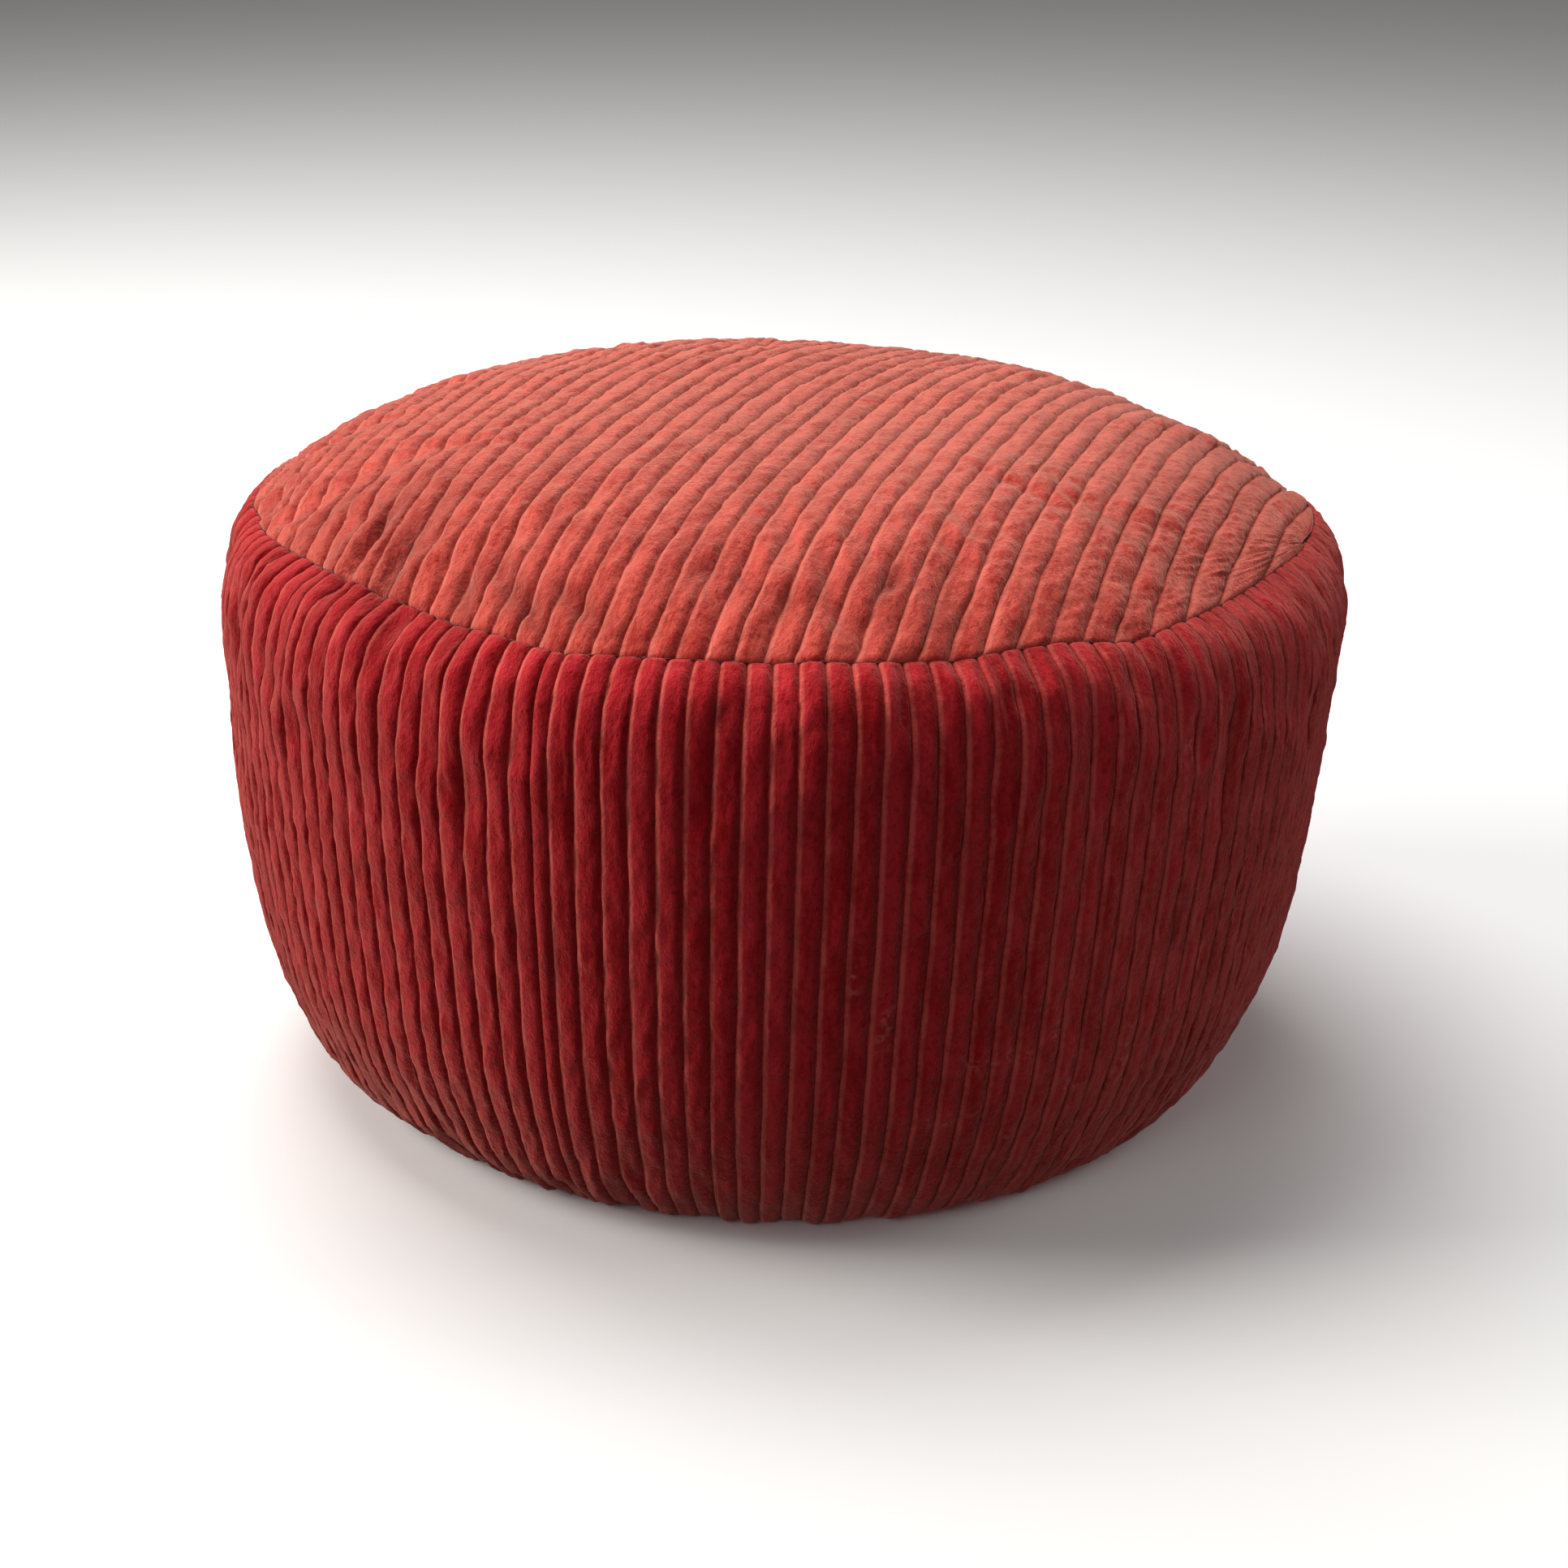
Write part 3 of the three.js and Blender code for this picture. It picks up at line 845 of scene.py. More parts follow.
def corduroy(name, deep, bright, painted_highlight_weight, sheen, crushing):
    """Cotton pile with a painted highlight on one flank of each wale and painted shade on the other. It's
    streaked with lighter tufts, darker in patches where the pile lies flat and in the pinched hollows (there
    partly painted shade), and pale where it's rubbed."""
    n = Nodes(name, Roughness=0.95, Specular_IOR_Level=0.1, Sheen_Weight=sheen, Sheen_Roughness=0.35)
    n.shader.inputs["Sheen Tint"].default_value = (1.0, 0.57, 0.44, 1)
    pile = n.attribute("pile")
    _, _, phase = n.split(pile)
    # The wear attribute carries each wale's tone, the hollows' darkening (flattened pile and painted shade)
    # and the rubbed specks.
    wale_share, crush_and_hollow_shade, scuff = n.split(n.attribute("wear"))
    flat = n.add("ShaderNodeVectorMath", {0: pile, 1: (1, 1, 0)}, operation="MULTIPLY").outputs[0]
    tufts = n.noise(n.stretch(flat, (1, 0.6, 1)), 430, 4, 0.75)
    streaks = n.noise(n.stretch(flat, (1, 0.3, 1)), 130, 3, 0.6)
    patches = n.noise(n.stretch(flat, (1, 0.45, 1)), 42, 3, 0.6)
    shade = n.math("ADD", n.math("MULTIPLY", streaks, 0.65), n.math("MULTIPLY", tufts, 0.5))
    shade = n.math("ADD", shade, n.math("MULTIPLY", wale_share, 0.12))
    colour = n.mix(n.ramp(shade, 0.48, 0.74), (*deep, 1), (*bright, 1))
    # Painted highlight: a pale pinkish line on one flank of each wale, where the side light grazes the pile.
    painted_flank_highlight = n.math("MULTIPLY", n.ramp(phase, 0.0, 0.07), n.ramp(phase, 0.26, 0.13))
    lit = n.math("MULTIPLY", painted_flank_highlight, n.ramp(shade, 0.4, 0.72, 0.3, 1.0))
    colour = n.mix(n.math("MULTIPLY", lit, painted_highlight_weight), colour, (0.66, 0.17, 0.13, 1))
    # Painted shade: the far flank of each wale, by its groove, is mixed towards a dark red, as if turned
    # away from the side light.
    dark = (*[c * 0.45 for c in deep], 1)
    shaded = n.ramp(n.math("ADD", phase, n.math("MULTIPLY", tufts, 0.3)), 0.72, 1.05)
    colour = n.mix(n.math("MULTIPLY", shaded, 0.5), colour, dark)
    # Dark specks in the pile, denser towards that painted-shade flank.
    specks = n.ramp(n.noise(n.stretch(flat, (1, 0.5, 1)), 520, 2, 0.6), 0.55, 0.63)
    specks = n.math("MULTIPLY", specks, n.ramp(phase, 0.1, 0.9, 0.15, 0.6))
    colour = n.mix(specks, colour, dark)
    lying = n.math("MULTIPLY", n.ramp(patches, 0.54, 0.66), n.ramp(streaks, 0.4, 0.58))
    # In the narrow hollows the pile is darkened: partly flattened pile, partly painted shade in the hollow.
    hollow_crush_and_shade = n.math("MULTIPLY", crush_and_hollow_shade, n.ramp(tufts, 0.3, 0.55))
    colour = n.mix(n.math("MAXIMUM", n.math("MULTIPLY", lying, crushing), hollow_crush_and_shade), colour, dark)
    rubbed = n.math("MULTIPLY", scuff, n.ramp(n.noise(flat, 190, 3, 0.7), 0.5, 0.62))
    colour = n.mix(n.math("MULTIPLY", rubbed, 0.6), colour, (0.62, 0.14, 0.12, 1))
    normal = n.bump(n.math("ADD", tufts, n.math("MULTIPLY", streaks, 0.4)), 1.0, 0.0016)
    return n.finish(colour, normal)


# Painted light: the top's copy of the corduroy is lighter and paler than the side's, standing in for the
# light falling on the top and the pale sheen seen across it.
TOP_CORD_PAINTED_LIT = corduroy("corduroy_top", (0.38, 0.021, 0.015), (0.62, 0.080, 0.056), 0.5, 1.0, 0.35)
SIDE_CORD = corduroy("corduroy_side", (0.34, 0.003, 0.007), (0.50, 0.018, 0.026), 0.4, 0.5, 0.5)

def fabric(name, deep, bright, thread, roughness=0.9):
    """Plain woven cloth. The threads' spacing is in metres."""
    n = Nodes(name, Roughness=roughness, Specular_IOR_Level=0.25, Sheen_Weight=0.1, Sheen_Roughness=0.5)
    place = n.add("ShaderNodeTexCoord").outputs["Object"]
    warp, weft = (n.wave(place, thread, way) for way in ("X", "Y"))
    weave = n.math("MAXIMUM", warp, weft)
    cloudy = n.noise(place, 70, 4, 0.6)
    fine = n.noise(place, 900, 2, 0.5)
    shade = n.math("ADD", n.math("MULTIPLY", cloudy, 0.6), n.math("MULTIPLY", fine, 0.4))
    shade = n.math("ADD", shade, n.math("MULTIPLY", weave, 0.15))
    colour = n.mix(n.ramp(shade, 0.4, 0.75), (*deep, 1), (*bright, 1))
    return n.finish(colour, n.bump(n.math("ADD", weave, fine), 0.6, 0.0003))


def foam(name, deep, bright, pores):
    """Cut foam: fine open pores and a slightly uneven tone."""
    n = Nodes(name, Roughness=0.95, Specular_IOR_Level=0.2, Subsurface_Weight=0.1, Subsurface_Scale=0.004)
    place = n.add("ShaderNodeTexCoord").outputs["Object"]
    cells = n.add("ShaderNodeTexVoronoi", {"Vector": place, "Scale": pores}).outputs["Distance"]
    cloudy = n.noise(place, 25, 4, 0.6)
    shade = n.math("ADD", n.math("MULTIPLY", cells, 0.5), n.math("MULTIPLY", cloudy, 0.6))
    colour = n.mix(n.ramp(shade, 0.3, 0.75), (*deep, 1), (*bright, 1))
    return n.finish(colour, n.bump(cells, 0.7, 0.0008))


def fibres(name, deep, bright):
    """Bonded polyester fibre: soft lumps and tangled hairs."""
    n = Nodes(name, Roughness=1.0, Specular_IOR_Level=0.15, Sheen_Weight=0.5, Sheen_Roughness=0.6)
    place = n.add("ShaderNodeTexCoord").outputs["Object"]
    lumps = n.noise(place, 45, 4, 0.6)
    hairs = n.add(
        "ShaderNodeTexNoise",
        {"Vector": n.stretch(place, (1, 1, 0.35)), "Scale": 420, "Detail": 4, "Distortion": 2.5},
    ).outputs[0]
    shade = n.math("ADD", n.math("MULTIPLY", lumps, 0.6), n.math("MULTIPLY", hairs, 0.4))
    colour = n.mix(n.ramp(shade, 0.35, 0.65), (*deep, 1), (*bright, 1))
    return n.finish(colour, n.bump(n.math("ADD", lumps, hairs), 0.8, 0.002))


def metal(name, colour):
    """Nickel-plated zinc with faint scratches."""
    n = Nodes(name, Metallic=1.0, Roughness=0.35)
    place = n.add("ShaderNodeTexCoord").outputs["Object"]
    scratches = n.noise(n.stretch(place, (0.15, 1, 1)), 2600, 3, 0.6)
    wear = n.noise(place, 400, 3, 0.6)
    tone = n.mix(n.ramp(wear, 0.35, 0.7), (*[c * 0.75 for c in colour], 1), (*colour, 1))
    return n.finish(tone, n.bump(scratches, 0.15, 0.0001), n.ramp(scratches, 0.3, 0.7, 0.24, 0.46))


def plastic(name, deep, bright):
    """Dyed nylon, a little worn."""
    n = Nodes(name, Roughness=0.4, Specular_IOR_Level=0.5)
    place = n.add("ShaderNodeTexCoord").outputs["Object"]
    wear = n.noise(place, 300, 3, 0.6)
    colour = n.mix(n.ramp(wear, 0.35, 0.7), (*deep, 1), (*bright, 1))
    return n.finish(colour, None, n.ramp(wear, 0.3, 0.7, 0.3, 0.5))


BASE_CLOTH = fabric("base_canvas", (0.085, 0.013, 0.012), (0.15, 0.026, 0.022), 1.1 * MM)
TAPE = fabric("woven_tape", (0.12, 0.012, 0.012), (0.20, 0.024, 0.022), 0.8 * MM)
THREAD = fabric("thread", (0.11, 0.008, 0.009), (0.17, 0.014, 0.014), 0.35 * MM, 0.7)
LINER = fabric("cotton_liner", (0.62, 0.58, 0.50), (0.78, 0.75, 0.68), 0.9 * MM)
LABEL = fabric("satin_label", (0.72, 0.71, 0.68), (0.86, 0.85, 0.83), 0.3 * MM, 0.5)
COIL = plastic("nylon_coil", (0.075, 0.010, 0.010), (0.12, 0.018, 0.017))
METAL = metal("nickel", (0.62, 0.60, 0.57))
FIRM_FOAM = foam("firm_foam", (0.42, 0.42, 0.40), (0.62, 0.61, 0.57), 900)
CORE_FOAM = foam("core_foam", (0.66, 0.56, 0.34), (0.84, 0.76, 0.52), 700)
SOFT_FOAM = foam("soft_foam", (0.78, 0.70, 0.52), (0.92, 0.86, 0.70), 600)
WADDING = fibres("fibre_wadding", (0.74, 0.73, 0.70), (0.92, 0.92, 0.90))

# ---- Cover ----

top = show(top_panel(), "pouf", "corduroy", TOP_CORD_PAINTED_LIT, "cover_top")
right = show(
    side_panel("cover_side_front_corduroy", SIDE_SEAM, math.radians(-21.07), 4),
    "pouf", "corduroy", SIDE_CORD, "cover_side_front",
)
left = show(
    side_panel(
        "cover_side_back_corduroy", SIDE_SEAM + math.pi,
        math.radians(-24.87) + 2 * math.pi - 72 * STEP, 90,
    ),
    "pouf", "corduroy", SIDE_CORD, "cover_side_back",
)

# ---- Stitches and base ----


def stitch_rows(name, starts, ends, radius, bow):
    """Short stitches between points, each bowed out by a vector."""
    t = np.array([0, 0.12, 0.5, 0.88, 1])[:, None]
    lines = starts[:, None] * (1 - t) + ends[:, None] * t + np.asarray(bow) * (4 * t * (1 - t))
    return tubes(name, lines, radius * np.array([0.35, 0.85, 1, 0.85, 0.35]))


def round_stitches(name, count, share, place, radius, bow):
    """Stitches round the pouf. place(angle) gives the points of their line."""
    angle = (np.arange(count) + rng.uniform(-0.06, 0.06, count)) * 2 * math.pi / count
    return stitch_rows(name, place(angle), place(angle + share * 2 * math.pi / count), radius, bow)


def in_top_seam(angle):
    return cloth_points(angle, seam_at(angle), -1.6 * MM + 0 * angle)[0]


def in_base_seam(angle):
    r = BASE_R + 0.2 * MM
    return np.stack([r * np.sin(angle), -r * np.cos(angle), 1.3 * MM + 0 * angle], -1)


TOP_STITCHES = 340
BASE_STITCHES = 280
show(
    round_stitches("top_seam_stitches", TOP_STITCHES, 0.66, in_top_seam, 0.5 * MM, (0, 0, 0.15 * MM)),
    "pouf", "thread", THREAD, "top_seam_thread",
)
show(
    round_stitches("base_seam_stitches", BASE_STITCHES, 0.66, in_base_seam, 0.5 * MM, (0, 0, 0)),
    "pouf", "thread", THREAD, "base_seam_thread",
)

# Base panels: canvas half discs that meet in a seam at each end of the zip's slot. Beside the slot the
# edge is folded in and topstitched twice.
SLOT_HALF = 198 * MM
SLOT_EDGE = 8 * MM
HEM_WIDE = 12 * MM
HEM_TOP = 5.8 * MM
CANVAS_TOP = 3 * MM
TOPSTITCH = (2.2 * MM, 9.2 * MM)  # from the fold
STITCH_PITCH = 4 * MM


def canvas_underside(x, y):
    """The height of the canvas's underside: dimpled by the stitches and puckered at the round seam."""
    from_rim = BASE_R - np.hypot(x, y)
    angle = np.arctan2(x, -y)
    pucker = (0.5 + 0.5 * np.sin(angle * 84 + 3 * np.sin(angle * 5))) * np.exp(-from_rim / (11 * MM))
    rows = sum(np.exp(-(((np.abs(y) - SLOT_EDGE - at) / (1.1 * MM)) ** 2)) for at in TOPSTITCH)
    inside = np.clip((SLOT_HALF - np.abs(x)) / (2 * MM), 0, 1)
    sag = 0.5 + 0.5 * np.sin(x * 31 + 1) * np.sin(y * 37)
    near_seam = np.exp(-from_rim / (2.5 * MM))
    return (0.45 + 0.35 * sag + 0.7 * pucker + 0.9 * near_seam + 0.8 * rows * inside) * MM


def base_panel(name, side):
    ends = BASE_R * np.sin(np.linspace(-math.pi / 2, math.pi / 2, 130))
    x = np.sort(np.concatenate([ends, [s * (SLOT_HALF + d * MM) for s in (-1, 1) for d in (-1.5, 0, 0.4)]]))
    x = np.clip(x, -BASE_R + 0.05 * MM, BASE_R - 0.05 * MM)
    hemmed = (np.abs(x) <= SLOT_HALF + 0.1 * MM)[:, None]
    inner = np.where(hemmed[:, 0], SLOT_EDGE, 0.3 * MM)
    outer = np.sqrt(BASE_R**2 - x**2) - 0.2 * MM
    inner = np.minimum(inner, outer - 0.05 * MM)
    share = np.concatenate([np.linspace(0, 0.16, 14), np.linspace(0.19, 0.9, 26), np.linspace(0.92, 1, 7)])
    under_y = inner[:, None] + share[None, :] * (outer - inner)[:, None]
    x = x[:, None]
    under = canvas_underside(x, under_y)
    fold = np.minimum(np.abs(under_y - inner[:, None]), np.abs(under_y - outer[:, None])) / (1.4 * MM)
    under = under + 1.1 * MM * (1 - np.sqrt(np.clip(1 - (1 - np.clip(fold, 0, 1)) ** 2, 0, 1)))
    hem = np.minimum(outer[:, None], inner[:, None] + np.array([[0.9, 0.999, 1.0, 0.0]]) * HEM_WIDE)
    upper_y = np.concatenate([outer[:, None] - 0.3 * MM, hem[:, 2:3], hem[:, 0:1], inner[:, None]], 1)
    upper = np.concatenate([
        CANVAS_TOP + 0 * x,
        CANVAS_TOP + 0 * x,
        np.where(hemmed, HEM_TOP, CANVAS_TOP),
        np.where(hemmed, HEM_TOP - 0.8 * MM, CANVAS_TOP - 0.2 * MM),
    ], 1)
    y = np.concatenate([under_y, np.maximum(upper_y, inner[:, None])], 1)
    z = np.concatenate([under, upper], 1)
    sections = np.stack([np.broadcast_to(x, y.shape), side * y, z], -1)
    return loft(name, sections)


def hem_stitches(name, side):
    """The two rows of topstitching beside the slot."""
    count = int(2 * (SLOT_HALF - 3 * MM) / STITCH_PITCH)
    x = (np.arange(count) - (count - 1) / 2) * STITCH_PITCH
    starts = [(at - 1.3 * MM, side * (SLOT_EDGE + row)) for row in TOPSTITCH for at in x]
    ends = [(at + 1.3 * MM, side * (SLOT_EDGE + row)) for row in TOPSTITCH for at in x]
    starts, ends = (
        np.array([(x, y, canvas_underside(np.array(x), np.array(y)) - 0.05 * MM) for x, y in points])
        for points in (starts, ends)
    )
    return stitch_rows(name, starts, ends, 0.36 * MM, (0, 0, -0.3 * MM))


for side, word in ((-1, "front"), (1, "back")):
    panel = base_panel(f"base_panel_{word}", side)
    show(panel, "pouf", "base_cloth", BASE_CLOTH, f"cover_base_{word}")
    show(hem_stitches(f"hem_stitches_{word}", side), "pouf", "thread", THREAD)

# ---- Zip ----

TAPE_START, TAPE_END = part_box("zip_tape_back")
COIL_Z = 5.05 * MM
COIL_HALF = 186 * MM
TOOTH = 1.6 * MM
WIRE = 0.3 * MM
WEDGE = 0.25  # half thickness in millimetres of the slider's wedge, which passes between the coils
WEDGE_GAP = 0.1
COIL_MIDDLE, COIL_HIGH = 1.85, 0.85  # millimetres from the zip's centre line, and half the coil's thickness
COIL_LEVELS = (4.2, 5.9)
STOP_ENDS = (186.4, 190)
STOP_BEVEL = 0.35 * MM
COIL_NEAR = (WEDGE + WEDGE_GAP) * MM + WIRE
COIL_FAR = 2.05 * MM


def zip_tape(name, side):
    x = np.linspace(TAPE_START.x, TAPE_END.x, 170)[:, None]
    edge = WEDGE + WEDGE_GAP
    section = [(edge, 0), (17, 0), (17, 0.6), (2.6, 0.6), (2.4, 0.8), (edge, 0.8)]
    section = rounded(section, 0.12, step=1.6)
    y, up = section[None, :, 0] * MM, section[None, :, 1] * MM
    wave = 0.09 * MM * np.sin(x * 210 + y * 90) * np.clip((y - 3 * MM) / (6 * MM), 0, 1)
    z = TAPE_START.z + 0.1 * MM + up + wave
    return loft(name, np.stack(np.broadcast_arrays(x, side * y, z), -1))


def zip_coil(name, side):
    """A flattened coil. Its heads stop short of the wedge, as rigid coils can't part to let it by."""
    turns = int(2 * COIL_HALF / TOOTH) - 1
    t = np.linspace(0, turns, turns * 12 + 1)
    x = (t - turns / 2 + side * 0.25) * TOOTH
    y = (COIL_FAR + COIL_NEAR) / 2 + (COIL_FAR - COIL_NEAR) / 2 * np.cos(2 * np.pi * t)
    z = COIL_Z + 0.55 * MM * np.sin(2 * np.pi * t)
    line = np.stack([x, side * y, z], -1)
    return tubes(name, line[None], np.full(len(t), WIRE), sides=6, reference=(1, 0, 0))


for side, word in ((-1, "front"), (1, "back")):
    show(zip_tape(f"woven_zip_tape_{word}", side), "pouf", "tape", TAPE, f"zip_tape_{word}")
    show(zip_coil(f"nylon_coil_{word}", side), "pouf", "coil", COIL, f"zip_coil_{word}")
    y = side * COIL_MIDDLE
    across = (y - COIL_HIGH, y + COIL_HIGH)
    stop = metal_part(f"top_stop_{word}", [box(*STOP_ENDS, *across, *COIL_LEVELS)], STOP_BEVEL)
    show(stop, "pouf", "metal", METAL, f"zip_top_stop_{word}")
reach = COIL_MIDDLE + COIL_HIGH
block = box(-STOP_ENDS[1], -STOP_ENDS[0], -reach, reach, *COIL_LEVELS)
bottom_stop = metal_part("bottom_stop", [block], STOP_BEVEL)
show(bottom_stop, "pouf", "metal", METAL, "zip_bottom_stop")

CLOSED = (180 * MM, 0, 0)
plate = rounded([(-5.5, -3.6), (1, -4.1), (5.5, -5.2), (5.5, 5.2), (1, 4.1), (-5.5, 3.6)], 1.2, step=20)
lip = [(-5, 3.05), (1, 3.5), (5, 4.5), (5, 5.05), (1, 4.05), (-5, 3.55)]
arch = [
    (-4, 3.3), (-4, 1.4), (-3.6, 0.7), (-2.9, 0.4), (2.9, 0.4), (3.6, 0.7), (4, 1.4), (4, 3.3),
    (2.9, 3.3), (2.9, 1.8), (2.4, 1.25), (-2.4, 1.25), (-2.9, 1.8), (-2.9, 3.3),
]
slider = metal_part(
    "slider_body",
    [
        prism(plate, 2.8, 3.8),
        prism(plate, 7.4, 8.4),
        prism(lip, 3.6, 4.9),
        prism([(x, -y) for x, y in lip], 3.6, 4.9),
        prism([(1, -WEDGE), (5, -WEDGE), (5, WEDGE), (1, WEDGE)], 3.4, 7.8),
        prism(arch, -0.9, 0.9, along="y"),
    ],
    0.22 * MM, CLOSED,
)
show(slider, "slider", "metal", METAL, "zip_slider")


def zip_pull():
    """A flat drop-shaped tab with an oval hole, on a bent wire that turns in the slider's arch."""
    count = 48
    t = np.arange(count) * 2 * np.pi / count
    wide = 3.5 + 0.5 * np.cos(t + np.pi)
    outer = np.stack([-16 + 10 * np.sign(np.cos(t)) * np.abs(np.cos(t)) ** 0.7, wide * np.sin(t)], 1)
    inner = np.stack([-21.2 + 1.8 * np.cos(t), 1.5 * np.sin(t)], 1)
    edge = 0.2
    rings = []
    for loop, out in ((outer, 1), (inner, -1)):
        middle = loop.mean(0)
        small = middle + (loop - middle) * (1 - out * edge / 3)
        levels = [(small, -0.5), (loop, -0.5 + edge), (loop, 0.5 - edge), (small, 0.5)]
        levels = levels if out == 1 else levels[::-1]
        rings += [np.column_stack([points, np.full(count, at)]) for points, at in levels]
    tab = loft("pull_tab", np.array(rings) * MM + np.array([CLOSED[0], 0, 2 * MM]), closed=True)
    bend = np.linspace(0, np.pi / 2, 6)
    corner = np.stack([-0.9 + 0.9 * np.cos(bend), 1.6 + 0.9 * np.sin(bend)], 1)
    wire = np.vstack([[(0, 0.4)], corner, [(-4, 2.4), (-8, 2.2)]])
    wire = np.vstack([wire[::-1] * (1, -1), wire])
    line = np.column_stack([wire[:, 0], -wire[:, 1], 0 * wire[:, 0]])
    line = line * MM + np.array([CLOSED[0], 0, 2 * MM])
    loop = tubes("pull_wire", line[None], np.full(len(line), 0.48 * MM), sides=10)
    return tab, loop


tab, loop = zip_pull()
show(tab, "pull", "metal", METAL, "zip_pull")
show(loop, "pull", "metal", METAL)


def care_label():
    """A blank folded satin label, sewn flat above the tape."""
    x = np.linspace(-70, -30, 24)[:, None]
    section = rounded([(7, 0), (16, 0), (16, 0.3), (7, 0.3)], 0.08, step=1)
    y, up = section[None, :, 0], section[None, :, 1]
    lift = 7.42 + 0.1 * np.sin((x + 70) / 40 * np.pi) * (y - 7) / 9
    return loft("blank_care_label", np.stack(np.broadcast_arrays(x, y, lift + up), -1) * MM)


show(care_label(), "pouf", "label", LABEL, "care_label")

# ---- Bindings, liner and fill ----

WALL_TO_SEAM = LINE_AT <= SEAM_AT


def settle(angle, r, z, lumps=0.0):
    """Points of an inner layer, moved as the cover over them has moved, with its own lumps."""
    wall = np.interp(z, LINE[WALL_TO_SEAM, 1], LINE_AT[WALL_TO_SEAM])
    crown = along_at(r)
    below_wall = on_line(wall)[0] - r
    below_crown = on_line(crown)[1] - z
    along = np.where(below_wall < below_crown, wall, crown)
    deep = np.minimum(below_wall, below_crown)
    near = np.clip(1 - (deep - 8 * MM) / (26 * MM), 0, 1)[..., None]
    wobble = lumps * (np.sin(angle * 9 + z * 61) * np.sin(angle * 14 - z * 43 + 1) - 0.6)
    r = r + wobble * np.clip(r / (60 * MM), 0, 1)
    points = np.stack([r * np.sin(angle), -r * np.cos(angle), z + 0.5 * wobble], -1)
    moved = creased(points, along, angle)
    return lean(points + (moved - points) * near)


def revolve(name, line, closed=False, steps=144, start=0.0, turn=2 * math.pi, lumps=0.0):
    """A line of (radius, height) turned about the middle and settled."""
    angle = start + np.arange(steps) * turn / steps
    line = np.asarray(line)
    angle, r = np.broadcast_arrays(angle[None, :], line[:, 0, None])
    z = np.broadcast_to(line[:, 1, None], r.shape)
    return loft(name, settle(angle, r, z, lumps), closed)


def offset(line, distance):
    """A line of (radius, height) moved in, to the left of its direction."""
    along = np.gradient(line, axis=0)
    along /= np.linalg.norm(along, axis=1, keepdims=True)
    return line + distance * np.stack([-along[:, 1], along[:, 0]], 1)


def inner_wall(distance, low, high, count=40):
    """The wall's line a distance inside the cover, between two heights."""
    line = offset(LINE[WALL_TO_SEAM], distance)
    z = np.linspace(low, high, count)
    return np.stack([np.interp(z, line[:, 1], line[:, 0]), z], 1)


def layer(line, thickness):
    """The section of a cloth of one thickness on the inside of a line."""
    return np.vstack([line, offset(line, thickness)[::-1]])


def side_binding(name, middle):
    strip = layer(inner_wall(5 * MM, 24 * MM, 240 * MM), 1.2 * MM)
    angle = middle + np.linspace(-9, 9, 8) * MM / MAX_R
    r, z = (np.broadcast_to(strip[None, :, k], (len(angle), len(strip))) for k in (0, 1))
    ripple = 0.12 * MM * np.sin(z * 160)
    return loft(name, settle(np.broadcast_to(angle[:, None], r.shape), r + ripple, z))


top_tape = rounded([(251, 276), (254.6, 276.4), (254.9, 286), (251.4, 286)], 0.6, step=3) * MM
show(revolve("top_binding", top_tape, closed=True, lumps=0.2 * MM), "pouf", "tape", TAPE, "top_seam_binding")
base_tape = rounded([(202, 3.6), (210, 3.6), (210, 5.5), (202, 5.5)], 0.6, step=3) * MM
show(revolve("base_binding", base_tape, closed=True), "pouf", "tape", TAPE, "base_seam_binding")
for turn, word in ((0, "front"), (math.pi, "back")):
    binding = side_binding(f"side_binding_{word}", SIDE_SEAM + turn)
    show(binding, "pouf", "tape", TAPE, f"side_seam_binding_{word}")

liner_wall = np.vstack([inner_wall(7 * MM, 10.9 * MM, 255 * MM), [(247.6 * MM, 272.6 * MM)]])
liner_crown = dome(246.6 * MM, 274.8 * MM, 329.6 * MM, 4.5)
floor_rim = liner_wall[0, 0] / MM - 1.6
liner_floor = rounded([(1, 9.5), (floor_rim, 9.5), (floor_rim, 10.3), (1, 10.3)], 0.4, False) * MM
show(
    revolve("sewn_liner_side", layer(liner_wall, 0.9 * MM), closed=True, lumps=0.3 * MM),
    "pouf", "liner", LINER, "liner_side",
)
show(revolve("sewn_liner_top", layer(liner_crown, 0.9 * MM)), "pouf", "liner", LINER, "liner_top")
show(revolve("sewn_liner_base", liner_floor), "pouf", "liner", LINER, "liner_base")

CORE_R = 196
blocks = (
    ("base", "firm_foam", FIRM_FOAM, 11.5, 61.8),
    ("core", "core_foam", CORE_FOAM, 62.5, 221.8),
    ("top", "soft_foam", SOFT_FOAM, 222.5, 270.8),
)
for word, slot, material, low, high in blocks:
    disc = rounded([(1, low), (CORE_R - 0.3, low), (CORE_R - 0.3, high), (1, high)], 3, False) * MM
    block = revolve(f"foam_disc_{word}", disc)
    show(block, "pouf", slot, material, f"foam_{word}_block")

wrap_wall = inner_wall(8.6 * MM, 13.6 * MM, 252 * MM)
wrap = np.vstack([wrap_wall, [(243.6 * MM, 270.6 * MM), (198 * MM, 270.6 * MM), (198 * MM, 13.6 * MM)]])
wrap_piece = revolve("fibre_wrap", divided(wrap, True, 9 * MM), closed=True, lumps=0.8 * MM)
show(wrap_piece, "pouf", "wadding", WADDING, "wadding_wrap")
pad_crown = dome(242.6 * MM, 275.8 * MM, 327.6 * MM, 4.5)
pad = np.vstack([[(1 * MM, 272 * MM), (120 * MM, 272 * MM), (241 * MM, 272 * MM)], pad_crown])
pad_piece = revolve("fibre_top_pad", divided(pad, False, 9 * MM), lumps=0.6 * MM)
show(pad_piece, "pouf", "wadding", WADDING, "wadding_top_pad")

# ---- Stage ----


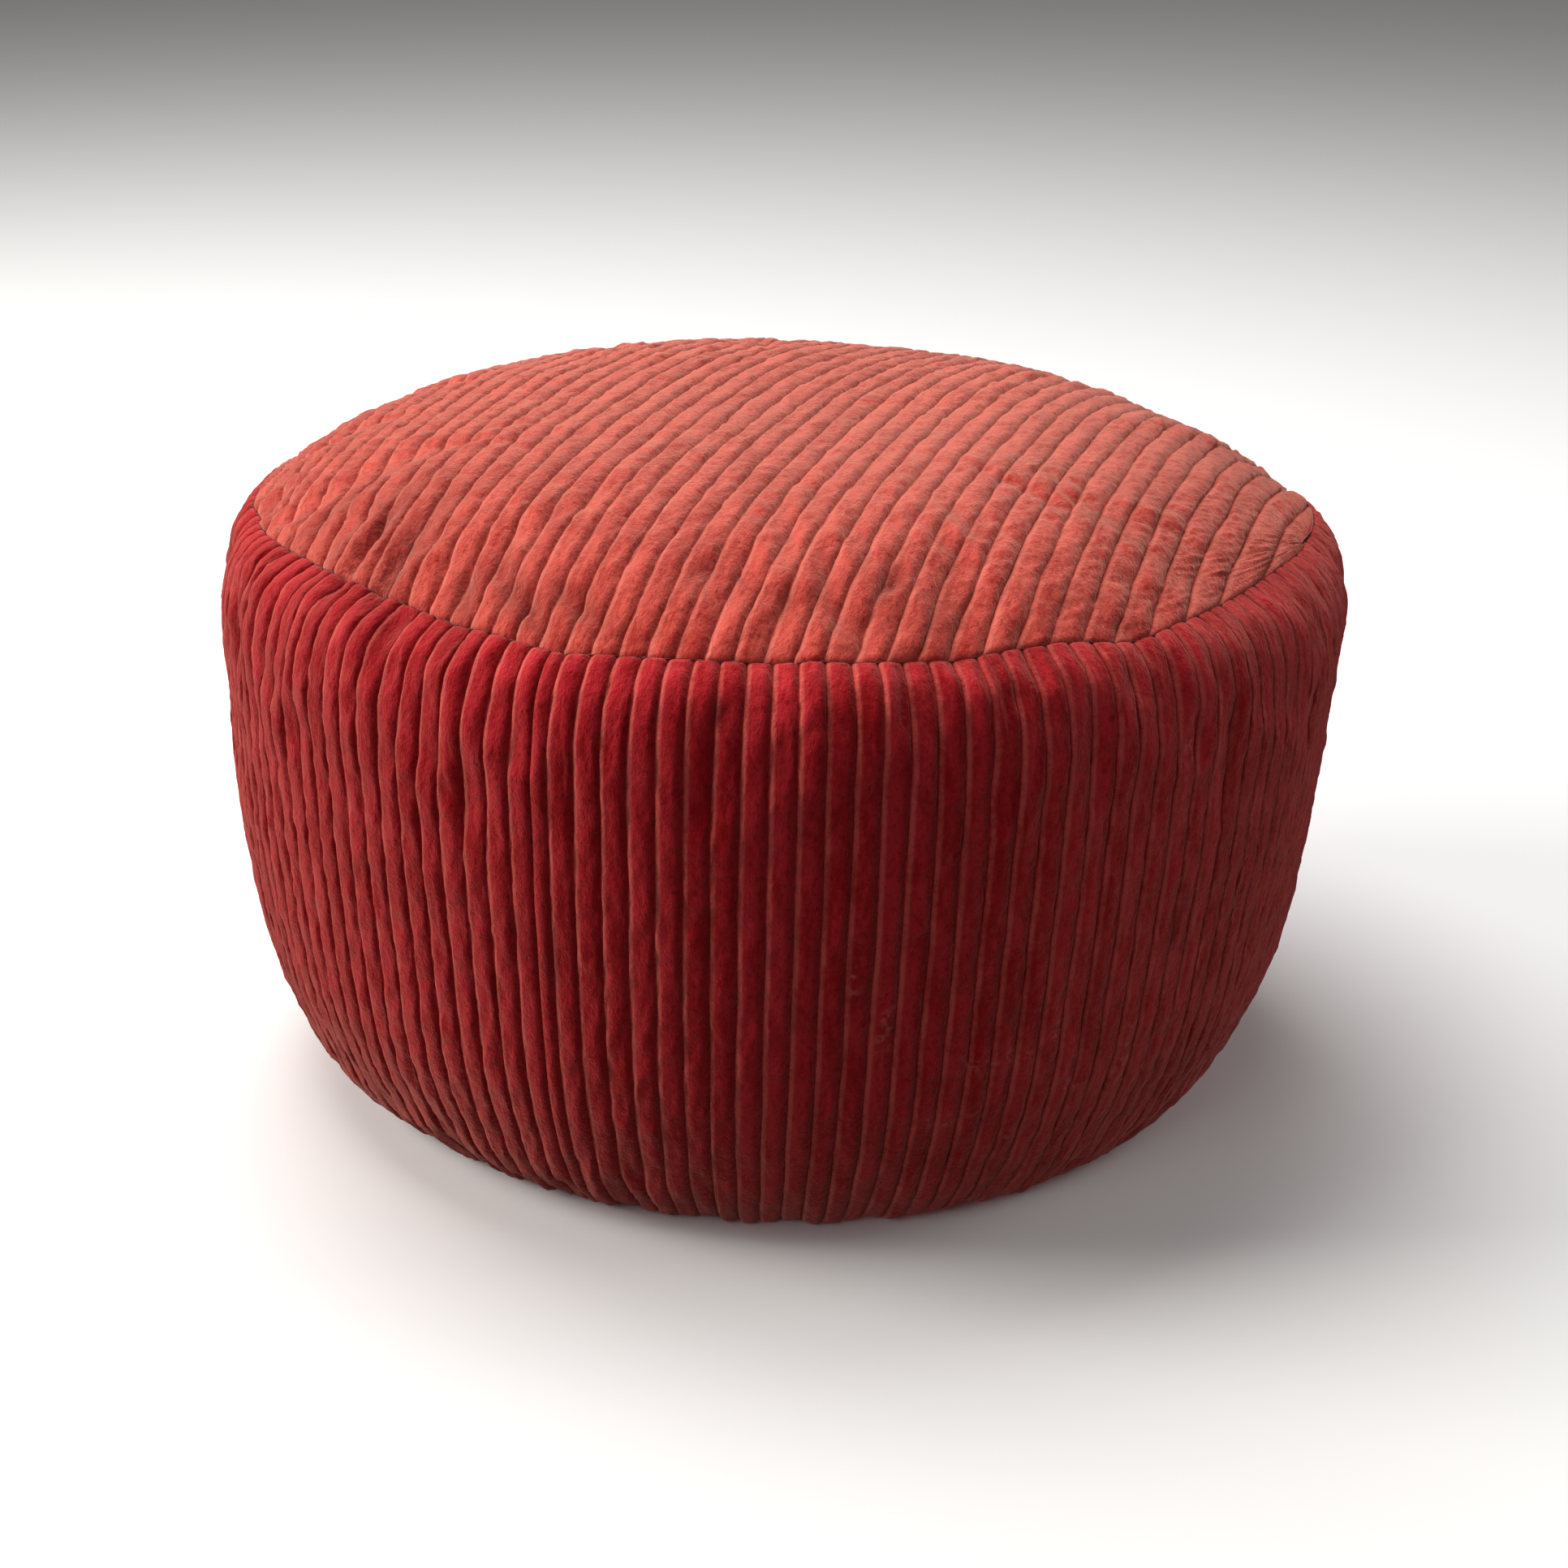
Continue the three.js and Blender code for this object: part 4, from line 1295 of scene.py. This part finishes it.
def make_stage():
    pale = Nodes("stage_floor", Base_Color=(0.82, 0.81, 0.80, 1), Roughness=0.9)
    size = 14
    corners = [(-size, -size, 0), (size, -size, 0), (size, size, 0), (-size, size, 0)]
    floor = add_mesh("stage_floor", corners, [(0, 1, 2, 3)])
    floor.data.materials.append(pale.material)
    floor.visible_diffuse = False
    floor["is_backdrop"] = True


def area_light(name, place, target, size, power, colour=(1, 1, 1)):
    data = bpy.data.lights.new(name, "AREA")
    data.shape = "RECTANGLE"
    data.size, data.size_y = size
    data.energy = power
    data.color = colour
    light = bpy.data.objects.new(name, data)
    light.location = place
    aim = Vector(target) - Vector(place)
    light.rotation_euler = aim.to_track_quat("-Z", "Y").to_euler()
    bpy.context.scene.collection.objects.link(light)


def make_light():
    world = bpy.data.worlds.new("studio")
    world.use_nodes = True
    world.node_tree.nodes["Background"].inputs[0].default_value = (1, 1, 1, 1)
    world.node_tree.nodes["Background"].inputs[1].default_value = 0.13
    bpy.context.scene.world = world
    middle = (0, 0, HEIGHT / 2)
    area_light("window", (-2.4, -0.1, 1.3), middle, (1.3, 1.4), 72, (1, 0.97, 0.93))
    area_light("overhead", (-0.5, 0.8, 2.4), middle, (2.0, 2.0), 75)
    area_light("front", (-1.2, -2.4, 1.7), middle, (1.6, 1.2), 13)
    area_light("right", (2.4, 0.35, 1.3), middle, (1.4, 1.4), 16)
    bpy.context.scene.view_settings.view_transform = "Standard"


def make_camera():
    data = bpy.data.cameras.new("camera")
    data.sensor_width = 36
    data.lens = 69.24
    data.shift_x, data.shift_y = 0.0069, -0.0393
    camera = bpy.data.objects.new("camera", data)
    distance, elevation, roll = 1.5535, math.radians(20.54), math.radians(0.42)
    target = Vector((0, 0, HEIGHT / 2))
    away = Vector((0, -math.cos(elevation), math.sin(elevation)))
    turn = Matrix.Rotation(math.pi / 2 - elevation, 4, "X") @ Matrix.Rotation(roll, 4, "Z")
    camera.matrix_world = Matrix.Translation(target + away * distance) @ turn
    bpy.context.scene.collection.objects.link(camera)
    bpy.context.scene.camera = camera


make_stage()
make_light()
make_camera()

low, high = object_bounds()
